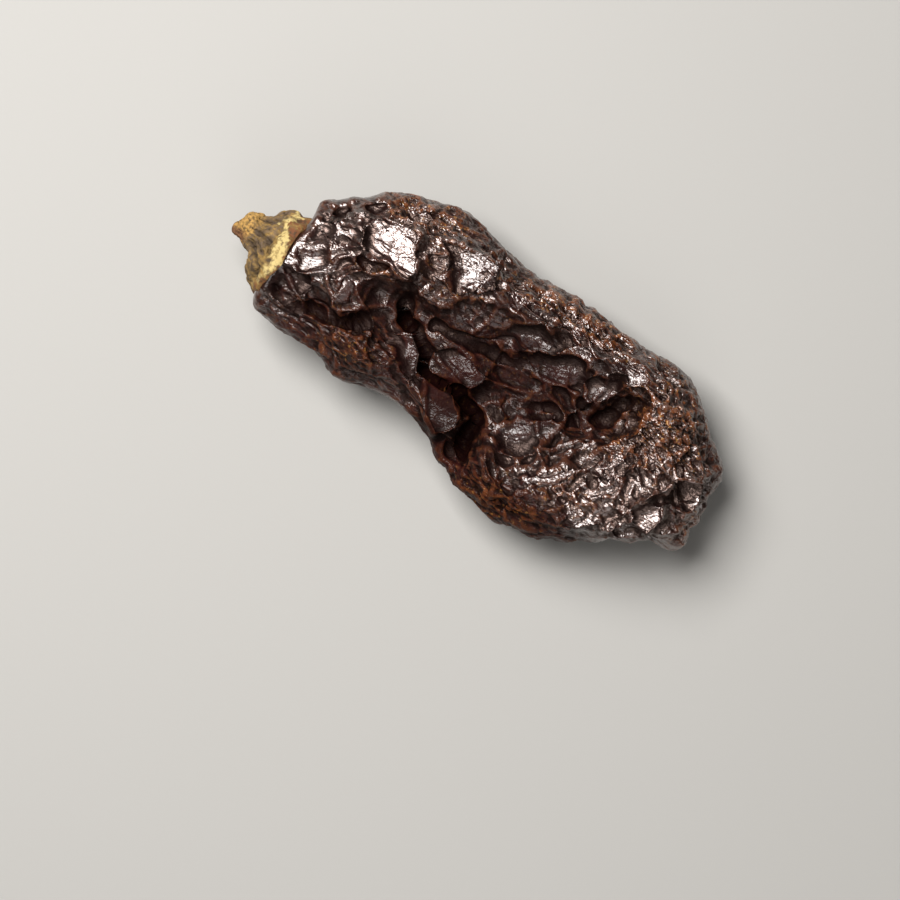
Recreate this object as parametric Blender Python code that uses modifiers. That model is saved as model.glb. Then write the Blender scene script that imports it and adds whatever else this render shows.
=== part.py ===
"""A dried chipotle pepper: a collapsed, wrinkled pod and its woody calyx with the stub of the stem.

The pod lies on its side. +X runs from the stem to the tip, +Z is up, and the origin is on the surface
that it lies on, under the middle of its box. Lengths are in millimetres, and MM turns them into metres.
The pod starts as a smooth form through hand-drawn sections. Hollows, folds and ridges are pressed into
its upper and lower sides, a net of fine ridges wrinkles the skin, and few faces then carry the result.
"""

import math

import bmesh
import bpy
import numpy as np
from mathutils import Matrix, Vector, noise

MM = 0.001

# Driving dimensions
POD_RINGS = 200
POD_SIDES = 220
POD_TRIANGLES = 11400
SECTION_POWER_TOP = 2.5
SECTION_POWER_LOW = 2.0
RING_SAMPLES = 720

# The flat disc that carries the calyx, and the gap between the two
SEAT_CENTRE = (-28.1, -0.4, 9.0)
SEAT_RADIUS = 5.9
SEAT_TURN_DEG = 9.0
SEAT_CALM = 2.6
SEAT_GAP = 0.3

# The spot that the pod rests on, at z 0
REST_CENTRE = (3.5, 0.2, 0.0)
REST_SPOT_RADIUS = 3.0
REST_CALM = 4.0
REST_PRESS = 0.06

# The pod's sections, from the seat of the calyx to the tip. Each joins a point of the far outline to a
# point of the near one, seen from above: far x, far y, near x, near y, lowest z, highest z.
SECTIONS = (
    (-28.10, -0.40, -28.10, -0.40, 9.0, 9.0),
    (-27.60, 2.80, -28.60, -3.60, 5.8, 12.2),
    (-27.25, 5.00, -28.95, -5.80, 4.2, 13.8),
    (-26.40, 7.00, -28.10, -7.10, 3.6, 14.4),
    (-24.10, 9.30, -25.50, -8.00, 3.2, 14.8),
    (-21.10, 11.60, -21.90, -7.90, 2.7, 15.1),
    (-17.10, 13.70, -17.50, -8.70, 2.1, 15.3),
    (-11.50, 15.00, -12.70, -9.30, 1.4, 15.4),
    (-6.10, 14.20, -7.70, -8.70, 0.7, 15.4),
    (-0.70, 13.20, -2.10, -10.00, 0.2, 15.3),
    (4.10, 13.00, 2.70, -12.70, -0.1, 15.2),
    (8.90, 12.90, 8.10, -14.70, 0.2, 15.1),
    (13.70, 12.30, 13.30, -15.20, 0.7, 15.0),
    (18.70, 12.20, 18.70, -14.50, 1.3, 14.8),
    (23.10, 11.50, 23.50, -13.00, 2.0, 14.4),
    (26.70, 9.20, 27.30, -10.90, 2.7, 13.8),
    (30.10, 6.30, 30.70, -8.90, 3.5, 12.8),
    (32.70, 3.60, 33.10, -6.80, 4.4, 11.4),
    (34.10, 0.80, 34.20, -4.60, 5.6, 9.8),
    (34.35, -2.00, 34.35, -2.00, 7.6, 7.6),
)

# Broad swells and sunken hollows of the upper side: centre x, y, half-lengths, turn in degrees, height.
SWELL_STEEPNESS = 1.2
SWELLS = (
    (6.0, 1.0, 14.5, 6.0, 2.0, -4.2),
    (8.0, -5.6, 6.5, 4.4, 12.0, -1.8),
    (17.7, 3.0, 3.0, 4.2, -18.0, -2.2),
    (2.7, -7.2, 2.4, 4.0, 12.0, -2.0),
    (-12.1, 0.7, 5.0, 2.8, -14.0, -2.2),
    (-13.0, -5.8, 5.6, 2.8, 4.0, 1.0),
    (-1.7, -7.2, 2.8, 2.6, -30.0, 1.2),
    (-18.5, -0.2, 2.8, 2.8, 0.0, 0.8),
    (26.5, 4.4, 4.5, 4.0, 0.0, 0.8),
    (-16.5, 7.4, 4.6, 3.0, -8.0, 0.8),
)

# Folds and ridges of the upper side: height above the skin around, half-width, then the points that the
# line passes through, seen from above. They fade out where the skin turns towards the vertical.
UPRIGHT_FADE = (0.05, 0.45)
STROKES = (
    # The long fold, from under the shoulder to the near side
    (-2.6, 1.50, ((-15.9, 1.6), (-13.1, 1.9), (-10.7, 0.8), (-7.7, -1.6), (-4.5, -2.8), (-0.5, -3.6))),
    (-2.6, 1.50, ((-0.5, -3.6), (1.7, -4.2), (2.9, -6.6), (2.7, -9.2), (3.3, -11.6))),
    # The crease below the shoulder's bright panel
    (-1.3, 1.10, ((-20.9, 0.2), (-20.2, 2.4), (-18.7, 3.6), (-16.7, 4.4))),
    # The line through the sunken middle, with the pocket at its end
    (-1.6, 1.40, ((19.7, 6.0), (18.1, 4.6), (17.1, 2.4), (15.7, 0.4), (12.9, -0.8), (9.5, -1.2))),
    (-1.4, 1.40, ((9.5, -1.2), (6.7, -1.9), (5.1, -3.8), (3.5, -5.2))),
    (-1.2, 1.20, ((4.5, 2.3), (0.5, 2.4), (-3.5, 1.6), (-7.1, 1.1))),
    # The creases of the near lobe beside the stem
    (-1.4, 1.10, ((-26.5, -5.0), (-23.9, -5.4), (-21.3, -4.9), (-18.3, -4.0), (-14.5, -2.2))),
    (-1.3, 1.10, ((-8.7, -6.0), (-6.9, -7.4), (-5.4, -8.6), (-4.9, -10.2))),
    # The notch that parts the knob at the tip
    (-2.0, 1.10, ((29.1, -10.2), (29.7, -8.0), (30.3, -5.6), (31.7, -4.6), (34.1, -3.8))),
    (-1.4, 1.10, ((27.5, -3.2), (29.5, -2.0), (31.7, -0.4))),
    # The crest along the far side
    (1.8, 3.60, ((-21.5, 6.8), (-13.5, 8.8), (-5.5, 9.4), (2.5, 9.6), (10.5, 9.6), (18.5, 9.2), (23.5, 7.0))),
    # The sharp edges of the shoulder's panels
    (0.9, 1.05, ((-20.7, 7.6), (-19.7, 5.9), (-15.9, 5.4), (-12.7, 4.6))),
    (0.8, 1.05, ((-10.5, 5.2), (-7.5, 6.6), (-5.5, 7.4), (-3.3, 8.8), (-2.7, 11.0))),
    (1.0, 1.05, ((-19.7, 2.2), (-17.5, 3.1), (-14.9, 4.2), (-11.9, 3.9), (-9.5, 3.8), (-6.9, 5.0))),
    # The ridges round the sunken middle
    (1.2, 1.10, ((16.7, 6.6), (18.9, 7.2), (20.9, 5.6), (21.0, 2.8), (19.9, 0.6), (19.7, -2.2))),
    (1.5, 1.90, ((5.9, -10.0), (8.9, -12.4), (13.5, -12.8), (19.1, -11.8), (24.1, -9.4), (27.1, -5.6))),
    (1.0, 1.05, ((31.1, 1.0), (28.9, -0.4), (26.7, -2.4), (26.3, -5.0))),
    (0.9, 1.05, ((24.9, -0.2), (22.5, -2.6), (19.7, -5.4))),
    (0.8, 1.05, ((16.7, -5.4), (14.7, -7.8), (12.9, -10.6))),
)

# Folds and ridges of the side that the pod lies on, clear of the spot that it rests on.
LOWER_STROKES = (
    (1.7, 1.50, ((-24.5, 1.0), (-18.5, 4.0), (-11.5, 6.8), (-4.5, 7.8), (3.5, 7.4), (10.5, 8.2))),
    (1.3, 1.30, ((-21.5, -4.0), (-15.5, -5.2), (-9.5, -6.4), (-3.5, -8.0), (2.5, -9.6))),
    (1.4, 1.40, ((14.5, -9.0), (19.5, -7.6), (24.5, -4.6), (29.5, -2.8))),
    (1.2, 1.30, ((15.5, 6.8), (20.5, 5.6), (25.5, 4.4), (29.5, 1.6))),
)

# The net of ridges over the whole skin: size of its panels, ridge half-width as a share of that size,
# ridge height, depth of the panels between, and where the pattern starts.
NETS = (
    (6.8, 0.26, 1.10, 0.90, 11.0),
    (3.7, 0.30, 0.55, 0.40, 47.0),
)
NET_WARP = 1.4
NET_WARP_SIZE = 5.0
NET_STRETCH = 0.72
NET_STARTS = (1.0, 0.37, 0.61)
# The number that the warp is drawn from, so that it is the same each time
NET_WARP_SEED = 5
SKIN_INSET = 0.75

# Smooth panels, where the skin is drawn tight: centre x, y, half-lengths, turn in degrees.
PANEL_EDGE = (0.6, 1.2)
PANEL_CALM = 0.80
PANELS = (
    (-16.7, 7.3, 4.6, 2.2, -14.0),
    (-7.5, 9.2, 4.4, 2.0, 4.0),
    (5.5, 5.6, 5.2, 1.8, 6.0),
    (-1.1, -2.0, 3.6, 1.2, -16.0),
    (8.5, -4.6, 2.4, 2.2, 30.0),
    (-1.3, -7.0, 2.4, 2.2, -40.0),
    (14.1, -7.6, 3.4, 1.2, 62.0),
    (19.9, -6.6, 2.6, 1.9, 35.0),
    (27.3, -6.0, 1.8, 2.4, -20.0),
    (22.9, -11.8, 2.8, 1.3, 28.0),
    (-8.1, -3.2, 1.6, 2.4, 30.0),
    (-18.1, -0.4, 1.7, 2.0, 30.0),
    (-19.9, -6.5, 2.6, 1.3, 8.0),
)

# The calyx and stem turned about the stem's line: distance from the seat, radius.
CALYX_PROFILE = (
    (0.00, 0.00),
    (0.00, 5.20),
    (0.35, 5.65),
    (1.10, 5.50),
    (1.90, 5.15),
    (2.60, 4.45),
    (3.30, 3.60),
    (4.00, 2.85),
    (4.80, 2.40),
    (5.70, 2.10),
    (6.35, 1.80),
    (6.80, 1.20),
    (6.90, 0.00),
)
CALYX_STEPS = 40
CALYX_LOBES = 5
CALYX_LOBE_DEPTH = 0.12
CALYX_LOBE_PLACE = 3.2
CALYX_LOBE_LENGTH = 1.5
CALYX_FIBRES = 13
CALYX_FIBRE_DEPTH = 0.035
CALYX_FIBRE_TWIST = 0.35
CALYX_KNOB_SIZE = 1.8
CALYX_KNOB_DEPTH = 0.30
STEM_LEAN = 0.6
MERGE_DISTANCE = 0.00001

SKIN_COLOUR = (0.030, 0.009, 0.007)
SKIN_ROUGHNESS = 0.28
CALYX_COLOUR = (0.46, 0.30, 0.12)
CALYX_ROUGHNESS = 0.85


def clear_scene():
    for obj in list(bpy.data.objects):
        bpy.data.objects.remove(obj, do_unlink=True)


def new_collection(name):
    collection = bpy.data.collections.new(name)
    bpy.context.scene.collection.children.link(collection)
    return collection


def plain_material(name, colour, roughness):
    material = bpy.data.materials.new(name)
    material.use_nodes = True
    shader = material.node_tree.nodes["Principled BSDF"]
    shader.inputs["Base Color"].default_value = (*colour, 1.0)
    shader.inputs["Roughness"].default_value = roughness
    shader.inputs["Metallic"].default_value = 0.0
    return material


def smooth_step(value, low, high):
    share = np.clip((value - low) / (high - low), 0.0, 1.0)
    return share * share * (3.0 - 2.0 * share)


def sections_between(fractions):
    """The sections at these fractions of the pod's length, on a smooth curve through SECTIONS."""
    rows = np.array(SECTIONS)
    steps = np.linalg.norm(np.diff(rows[:, :4], axis=0), axis=1)
    along = np.concatenate([[0.0], np.cumsum(steps)])
    slopes = np.gradient(rows, along, axis=0)
    at = np.asarray(fractions) * along[-1]
    index = np.clip(np.searchsorted(along, at, side="right") - 1, 0, len(along) - 2)
    span = (along[index + 1] - along[index])[:, None]
    t = ((at - along[index]) / span[:, 0])[:, None]
    return (
        (2 * t**3 - 3 * t**2 + 1) * rows[index]
        + (t**3 - 2 * t**2 + t) * span * slopes[index]
        + (3 * t**2 - 2 * t**3) * rows[index + 1]
        + (t**3 - t**2) * span * slopes[index + 1]
    )


def section_ring(section):
    """POD_SIDES points evenly spaced round one section, starting at its far side."""
    far, near = section[:2], section[2:4]
    low, top = section[4], section[5]
    turn = np.linspace(0.0, 2.0 * math.pi, RING_SAMPLES + 1)
    power = np.where(np.sin(turn) > 0.0, SECTION_POWER_TOP, SECTION_POWER_LOW)
    across = np.sign(np.cos(turn)) * np.abs(np.cos(turn)) ** (2.0 / power)
    up = np.sign(np.sin(turn)) * np.abs(np.sin(turn)) ** (2.0 / power)
    middle, half = (far + near) / 2.0, (far - near) / 2.0
    points = np.column_stack(
        [
            middle[0] + half[0] * across,
            middle[1] + half[1] * across,
            (low + top) / 2.0 + (top - low) / 2.0 * up,
        ]
    )
    length = np.concatenate([[0.0], np.cumsum(np.linalg.norm(np.diff(points, axis=0), axis=1))])
    wanted = np.linspace(0.0, length[-1], POD_SIDES, endpoint=False)
    return np.column_stack([np.interp(wanted, length, points[:, k]) for k in range(3)])


def smooth_pod_points():
    """The pod's points before it wrinkled: the pole at the seat, the rings, and the pole at the tip."""
    fractions = np.linspace(0.0, 1.0, POD_RINGS + 2)
    sections = sections_between(fractions)
    rings = [section_ring(section) for section in sections[1:-1]]
    first = [[*SECTIONS[0][:2], SECTIONS[0][4]]]
    last = [[*SECTIONS[-1][:2], SECTIONS[-1][4]]]
    return np.concatenate([first, *rings, last])


def distance_to_line(places, line):
    """Distance of each place, seen from above, to a line through points."""
    nearest = np.full(len(places), np.inf)
    for start, end in zip(line[:-1], line[1:]):
        a, b = np.array(start), np.array(end)
        t = np.clip((places - a) @ (b - a) / ((b - a) @ (b - a)), 0.0, 1.0)
        nearest = np.minimum(nearest, np.linalg.norm(places - a - t[:, None] * (b - a), axis=1))
    return nearest


def stroke_heights(places, strokes):
    """Height of the folds and ridges at each place, seen from above."""
    heights = np.zeros(len(places))
    for height, half_width, line in strokes:
        heights += height * np.exp(-((distance_to_line(places, line) / half_width) ** 2))
    return heights


def turned_offsets(places, centre, turn_deg):
    """Offsets of the places from a centre, along and across a direction turned from +X."""
    turn = math.radians(turn_deg)
    x, y = places[:, 0] - centre[0], places[:, 1] - centre[1]
    return x * math.cos(turn) + y * math.sin(turn), y * math.cos(turn) - x * math.sin(turn)


def upper_side_heights(places):
    """How far the swells, hollows, folds and ridges raise each place of the upper side."""
    heights = stroke_heights(places, STROKES)
    for x, y, half_x, half_y, turn_deg, height in SWELLS:
        along, across = turned_offsets(places, (x, y), turn_deg)
        away = np.hypot(along / half_x, across / half_y)
        heights += height * np.exp(-(away ** (2.0 * SWELL_STEEPNESS)))
    return heights


def panel_shares(places):
    """1 in the middle of a smooth panel, 0 away from all of them, for each place seen from above."""
    share = np.zeros(len(places))
    for x, y, half_x, half_y, turn_deg in PANELS:
        along, across = turned_offsets(places, (x, y), turn_deg)
        away = np.hypot(along / half_x, across / half_y)
        share = np.maximum(share, 1.0 - smooth_step(away, *PANEL_EDGE))
    return share


def net_heights(points):
    """Height of the net of ridges at each point, with the panels between them slightly sunken."""
    noise.seed_set(NET_WARP_SEED)
    heights = np.zeros(len(points))
    for size, sharpness, ridge, sag, start in NETS:
        shift = Vector(NET_STARTS) * start
        for index, (x, y, z) in enumerate(points):
            place = Vector((x * NET_STRETCH, y, z))
            warp = noise.noise_vector(place / NET_WARP_SIZE + shift) * NET_WARP
            near, next_near = noise.voronoi((place + warp) / size + shift)[0][:2]
            edge = next_near - near
            heights[index] += ridge * math.exp(-((edge / sharpness) ** 2)) - sag * min(edge, 1.0)
    return heights


def mesh_normals(mesh):
    normals = np.empty(len(mesh.vertices) * 3, np.float32)
    mesh.vertices.foreach_get("normal", normals)
    return normals.reshape(-1, 3).astype(float)


def seat_distance(points):
    """Distance of each point from the flat disc that carries the calyx."""
    axis = np.array(stem_direction())
    offset = points - np.array(SEAT_CENTRE)
    along = offset @ axis
    radius = np.linalg.norm(offset - along[:, None] * axis, axis=1)
    return np.hypot(np.maximum(radius - SEAT_RADIUS, 0.0), along)


def rest_distance(points):
    """Distance of each point from the middle of the spot that the pod rests on."""
    return np.linalg.norm(points - np.array(REST_CENTRE), axis=1)


def stem_direction():
    """The way the stem points, away from the pod."""
    turn = math.radians(SEAT_TURN_DEG)
    return (-math.cos(turn), math.sin(turn), 0.0)


def loft(name, points):
    """A closed mesh through the pod's sections: the pole at the seat, the rings, and the pole at the tip."""
    last = 1 + POD_RINGS * POD_SIDES
    faces = []
    for side in range(POD_SIDES):
        beside = (side + 1) % POD_SIDES
        faces.append((0, 1 + beside, 1 + side))
        faces.append((last, last - POD_SIDES + side, last - POD_SIDES + beside))
    for ring in range(POD_RINGS - 1):
        start = 1 + ring * POD_SIDES
        for side in range(POD_SIDES):
            beside = (side + 1) % POD_SIDES
            faces.append((start + side, start + beside, start + POD_SIDES + beside, start + POD_SIDES + side))
    mesh = bpy.data.meshes.new(name)
    mesh.from_pydata(points.tolist(), [], faces)
    mesh.update()
    return mesh


def set_points(mesh, points):
    mesh.vertices.foreach_set("co", points.astype(np.float32).ravel())
    mesh.update()


def with_fewer_faces(mesh, collection):
    """The same form with about POD_TRIANGLES faces, small along the ridges and large on the panels."""
    fine = bpy.data.objects.new("fine_pod", mesh)
    collection.objects.link(fine)
    fewer = fine.modifiers.new("fewer_faces", "DECIMATE")
    fewer.ratio = POD_TRIANGLES / (2 * POD_RINGS * POD_SIDES)
    coarse = bpy.data.meshes.new_from_object(fine.evaluated_get(bpy.context.evaluated_depsgraph_get()))
    bpy.data.objects.remove(fine, do_unlink=True)
    bpy.data.meshes.remove(mesh)
    coarse.name = "pod"
    return coarse


def press_flat(mesh):
    """Presses the lowest skin onto the surface that the pod rests on."""
    for vert in mesh.vertices:
        if vert.co.z < REST_PRESS * MM:
            vert.co.z = 0.0


def build_pod(collection, material):
    """The dried pod, its form pressed and wrinkled out of a smooth one through its sections."""
    points = smooth_pod_points()
    mesh = loft("fine_pod", points)
    calm = smooth_step(seat_distance(points), 0.0, SEAT_CALM)
    upward = mesh_normals(mesh)[:, 2]
    places = points[:, :2]
    rise = upper_side_heights(places) * smooth_step(upward, *UPRIGHT_FADE)
    rise += stroke_heights(places, LOWER_STROKES) * smooth_step(-upward, *UPRIGHT_FADE)
    points[:, 2] += rise * calm
    set_points(mesh, points)

    calm *= smooth_step(rest_distance(points), REST_SPOT_RADIUS, REST_SPOT_RADIUS + REST_CALM)
    net = net_heights(points) * (1.0 - PANEL_CALM * panel_shares(points[:, :2]) * (upward > 0.0))
    points += mesh_normals(mesh) * ((net - SKIN_INSET) * calm)[:, None]
    points[:, 2] = np.maximum(points[:, 2], 0.0)
    set_points(mesh, points * MM)

    mesh = with_fewer_faces(mesh, collection)
    press_flat(mesh)
    mesh.shade_smooth()
    mesh.materials.append(material)
    pod = bpy.data.objects.new("pod", mesh)
    collection.objects.link(pod)


def calyx_radius_share(turn, distance):
    """The calyx's five lobes, one of them at its far side, and its fibres, as a share of its radius."""
    place = math.exp(-(((distance - CALYX_LOBE_PLACE) / CALYX_LOBE_LENGTH) ** 2))
    lobes = CALYX_LOBE_DEPTH * place * math.cos(CALYX_LOBES * (turn - math.pi))
    fibres = CALYX_FIBRE_DEPTH * abs(math.sin(CALYX_FIBRES * turn / 2.0 + distance * CALYX_FIBRE_TWIST))
    return 1.0 + lobes + fibres


def build_calyx(collection, material):
    """The woody calyx and the stub of the stem, turned about the stem's line and then made rough."""
    profile = bpy.data.meshes.new("calyx_profile")
    points = [(radius * MM, 0.0, distance * MM) for distance, radius in CALYX_PROFILE]
    edges = [(i, i + 1) for i in range(len(points) - 1)]
    profile.from_pydata(points, edges, [])
    turned = bpy.data.objects.new("calyx_profile", profile)
    collection.objects.link(turned)
    screw = turned.modifiers.new("turn", "SCREW")
    screw.axis = "Z"
    screw.steps = CALYX_STEPS
    screw.render_steps = CALYX_STEPS
    screw.use_merge_vertices = True
    screw.merge_threshold = MERGE_DISTANCE
    graph = bpy.context.evaluated_depsgraph_get()
    mesh = bpy.data.meshes.new_from_object(turned.evaluated_get(graph))
    bpy.data.objects.remove(turned, do_unlink=True)

    bm = bmesh.new()
    bm.from_mesh(mesh)
    bmesh.ops.remove_doubles(bm, verts=bm.verts, dist=MERGE_DISTANCE)
    bmesh.ops.recalc_face_normals(bm, faces=bm.faces)
    for vert in bm.verts:
        x, y, z = vert.co / MM
        radius = math.hypot(x, y)
        share = calyx_radius_share(math.atan2(y, x), z)
        if z > 0.0:
            knob = noise.noise(Vector((x, y, z)) / CALYX_KNOB_SIZE) * CALYX_KNOB_DEPTH
            share += knob / max(radius, 1.0)
        lean = STEM_LEAN * (z / CALYX_PROFILE[-1][0]) ** 2
        vert.co = Vector((x * share, y * share + lean, z)) * MM
    bm.to_mesh(mesh)
    bm.free()

    outward = Vector(stem_direction())
    seat = (Vector(SEAT_CENTRE) + outward * SEAT_GAP) * MM
    mesh.transform(Matrix.Translation(seat) @ outward.to_track_quat("Z", "Y").to_matrix().to_4x4())
    mesh.name = "calyx_and_stem"
    mesh.shade_smooth()
    mesh.materials.append(material)
    calyx = bpy.data.objects.new("calyx_and_stem", mesh)
    collection.objects.link(calyx)


def main():
    clear_scene()
    parts = new_collection("chipotle_pepper")
    skin = plain_material("dried_skin", SKIN_COLOUR, SKIN_ROUGHNESS)
    wood = plain_material("dry_calyx", CALYX_COLOUR, CALYX_ROUGHNESS)
    build_pod(parts, skin)
    build_calyx(parts, wood)


main()
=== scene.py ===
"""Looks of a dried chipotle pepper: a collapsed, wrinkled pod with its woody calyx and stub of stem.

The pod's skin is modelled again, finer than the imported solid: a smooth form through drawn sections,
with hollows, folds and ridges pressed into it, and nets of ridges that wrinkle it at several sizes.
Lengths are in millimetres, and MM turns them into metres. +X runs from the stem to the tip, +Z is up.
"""

from __future__ import annotations

import logging
import math
from dataclasses import dataclass
from enum import Enum
from typing import Any

import bpy
import numpy as np
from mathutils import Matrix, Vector, noise

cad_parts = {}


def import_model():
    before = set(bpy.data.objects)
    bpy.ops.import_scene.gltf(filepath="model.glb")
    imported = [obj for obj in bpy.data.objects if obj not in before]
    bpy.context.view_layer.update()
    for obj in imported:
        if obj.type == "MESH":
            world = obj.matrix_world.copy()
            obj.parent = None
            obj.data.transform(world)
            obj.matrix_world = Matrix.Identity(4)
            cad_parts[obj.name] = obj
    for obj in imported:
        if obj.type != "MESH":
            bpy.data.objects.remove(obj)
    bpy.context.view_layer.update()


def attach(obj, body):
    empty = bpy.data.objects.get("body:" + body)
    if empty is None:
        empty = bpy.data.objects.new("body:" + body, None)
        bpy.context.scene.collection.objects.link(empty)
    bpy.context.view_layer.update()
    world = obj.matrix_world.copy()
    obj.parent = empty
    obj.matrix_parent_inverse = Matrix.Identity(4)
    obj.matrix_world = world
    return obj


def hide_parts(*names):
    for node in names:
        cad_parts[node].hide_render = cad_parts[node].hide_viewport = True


LOG = logging.getLogger("chipotle")

MM = 0.001
BODY = "root"
# A noise texture's colour wavers round this
MIDDLE_OF_NOISE = (0.5, 0.5, 0.5)

Array = np.ndarray
Point = tuple[float, float]
Stroke = tuple[float, float, tuple[Point, ...]]
NodeTree = bpy.types.NodeTree
# Where a share starts and is full, and what it is at those two places if it isn't 0 and 1
Limits = tuple[float, ...]

# The flat disc that carries the calyx
SEAT_CENTRE = (-28.1, -0.4, 9.0)
SEAT_RADIUS = 5.9
SEAT_TURN_DEG = 9.0
SEAT_CALM = 2.6
SEAT_GAP = 0.3

# The spot that the pod rests on, at z 0
REST_CENTRE = (3.5, 0.2, 0.0)
REST_SPOT_RADIUS = 3.0
REST_CALM = 4.0

# The pod's sections, from the seat of the calyx to the tip. Each joins a point of the far outline to a
# point of the near one, seen from above: far x, far y, near x, near y, lowest z, highest z.
SECTIONS = (
    (-28.10, -0.40, -28.10, -0.40, 9.0, 9.0),
    (-27.60, 2.80, -28.60, -3.60, 5.8, 12.2),
    (-27.25, 5.00, -28.95, -5.80, 4.2, 13.8),
    (-26.40, 7.00, -28.10, -7.10, 3.6, 14.4),
    (-24.10, 9.30, -25.50, -8.00, 3.2, 14.8),
    (-21.10, 11.60, -21.90, -7.90, 2.7, 15.1),
    (-17.10, 13.70, -17.50, -8.70, 2.1, 15.3),
    (-11.50, 15.00, -12.70, -9.30, 1.4, 15.4),
    (-6.10, 14.20, -7.70, -8.70, 0.7, 15.4),
    (-0.70, 13.20, -2.10, -10.00, 0.2, 15.3),
    (4.10, 13.00, 2.70, -12.70, -0.1, 15.2),
    (8.90, 12.90, 8.10, -14.70, 0.2, 15.1),
    (13.70, 12.30, 13.30, -15.20, 0.7, 15.0),
    (18.70, 12.20, 18.70, -14.50, 1.3, 14.8),
    (23.10, 11.50, 23.50, -13.00, 2.0, 14.4),
    (26.70, 9.20, 27.30, -10.90, 2.7, 13.8),
    (30.10, 6.30, 30.70, -8.90, 3.5, 12.8),
    (32.70, 3.60, 33.10, -6.80, 4.4, 11.4),
    (34.10, 0.80, 34.20, -4.60, 5.6, 9.8),
    (34.35, -2.00, 34.35, -2.00, 7.6, 7.6),
)
SECTION_POWER_TOP = 2.5
SECTION_POWER_LOW = 2.0
SKIN_INSET = 0.75
# The rim, where the skin stands upright, is calmer and fuller: slopes that it lies between, shares
RIM = (0.10, 0.55)
RIM_CALM = 0.72
RIM_SWELL = 1.05
# Places on the rim that stand out further, or less: x, y, height
RIM_BULGE_WIDTH = 2.0
RIM_BULGES = (
    (-27.0, 6.9, 0.9),
    (-24.3, 9.4, 0.5),
    (-17.2, 14.6, 0.6),
    (-20.5, 12.5, 0.7),
    (-11.5, 15.5, 0.6),
    (-7.5, 15.1, 0.4),
    (0.5, 13.3, 0.1),
    (17.5, 12.3, -0.4),
    (25.5, 10.4, 0.0),
    (29.5, 7.0, -0.3),
    (34.6, 0.3, -1.3),
    (34.8, -2.2, -1.5),
    (34.5, -3.6, -2.6),
    (29.4, -9.6, -2.7),
    (26.0, -11.6, -1.9),
    (22.8, -13.0, -1.3),
    (18.5, -14.6, -0.6),
    (10.5, -15.6, 0.5),
    (4.5, -14.1, 0.3),
    (1.0, -12.6, 0.6),
    (-14.5, -10.0, 1.0),
    (-22.5, -8.6, 0.4),
    (-28.8, -6.6, 0.6),
)

# Broad swells and sunken hollows of the upper side: centre x, y, half-lengths, turn in degrees, height.
SWELL_STEEPNESS = 1.2
SWELLS = (
    (6.0, 1.0, 14.5, 6.0, 2.0, -4.2),
    (8.0, -5.6, 6.5, 4.4, 12.0, -1.8),
    (17.7, 3.0, 3.0, 4.2, -18.0, -2.2),
    (2.7, -7.2, 2.4, 4.0, 12.0, -2.0),
    (-12.1, 0.7, 5.0, 2.8, -14.0, -2.2),
    (-13.0, -5.8, 5.6, 2.8, 4.0, 1.0),
    (-1.7, -7.2, 2.8, 2.6, -30.0, 1.2),
    (-18.5, -0.2, 2.8, 2.8, 0.0, 0.8),
    (-19.0, 4.5, 4.2, 5.0, 0.0, 0.9),
    (26.0, -5.5, 6.0, 5.0, 0.0, 0.9),
    (26.5, 4.4, 4.5, 4.0, 0.0, 0.8),
    (-16.5, 7.4, 4.6, 3.0, -8.0, 0.8),
)

# Folds and ridges: height above the skin around, half-width, then the points that the line passes
# through, seen from above. They fade out where the skin turns towards the vertical.
UPRIGHT_FADE = (0.05, 0.45)
# How much of a fold is round, how much is its sharp bottom, and how steeply that narrows
FOLD_ROUND = 0.45
FOLD_SHARP = 0.55
FOLD_STEEPNESS = 1.8
# How far the drawn lines wander, and over what length
FOLD_WANDER = 1.0
FOLD_WANDER_SIZE = 2.6
SEAM_WANDER = 0.35
SEAM_RISE = 0.9
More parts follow.
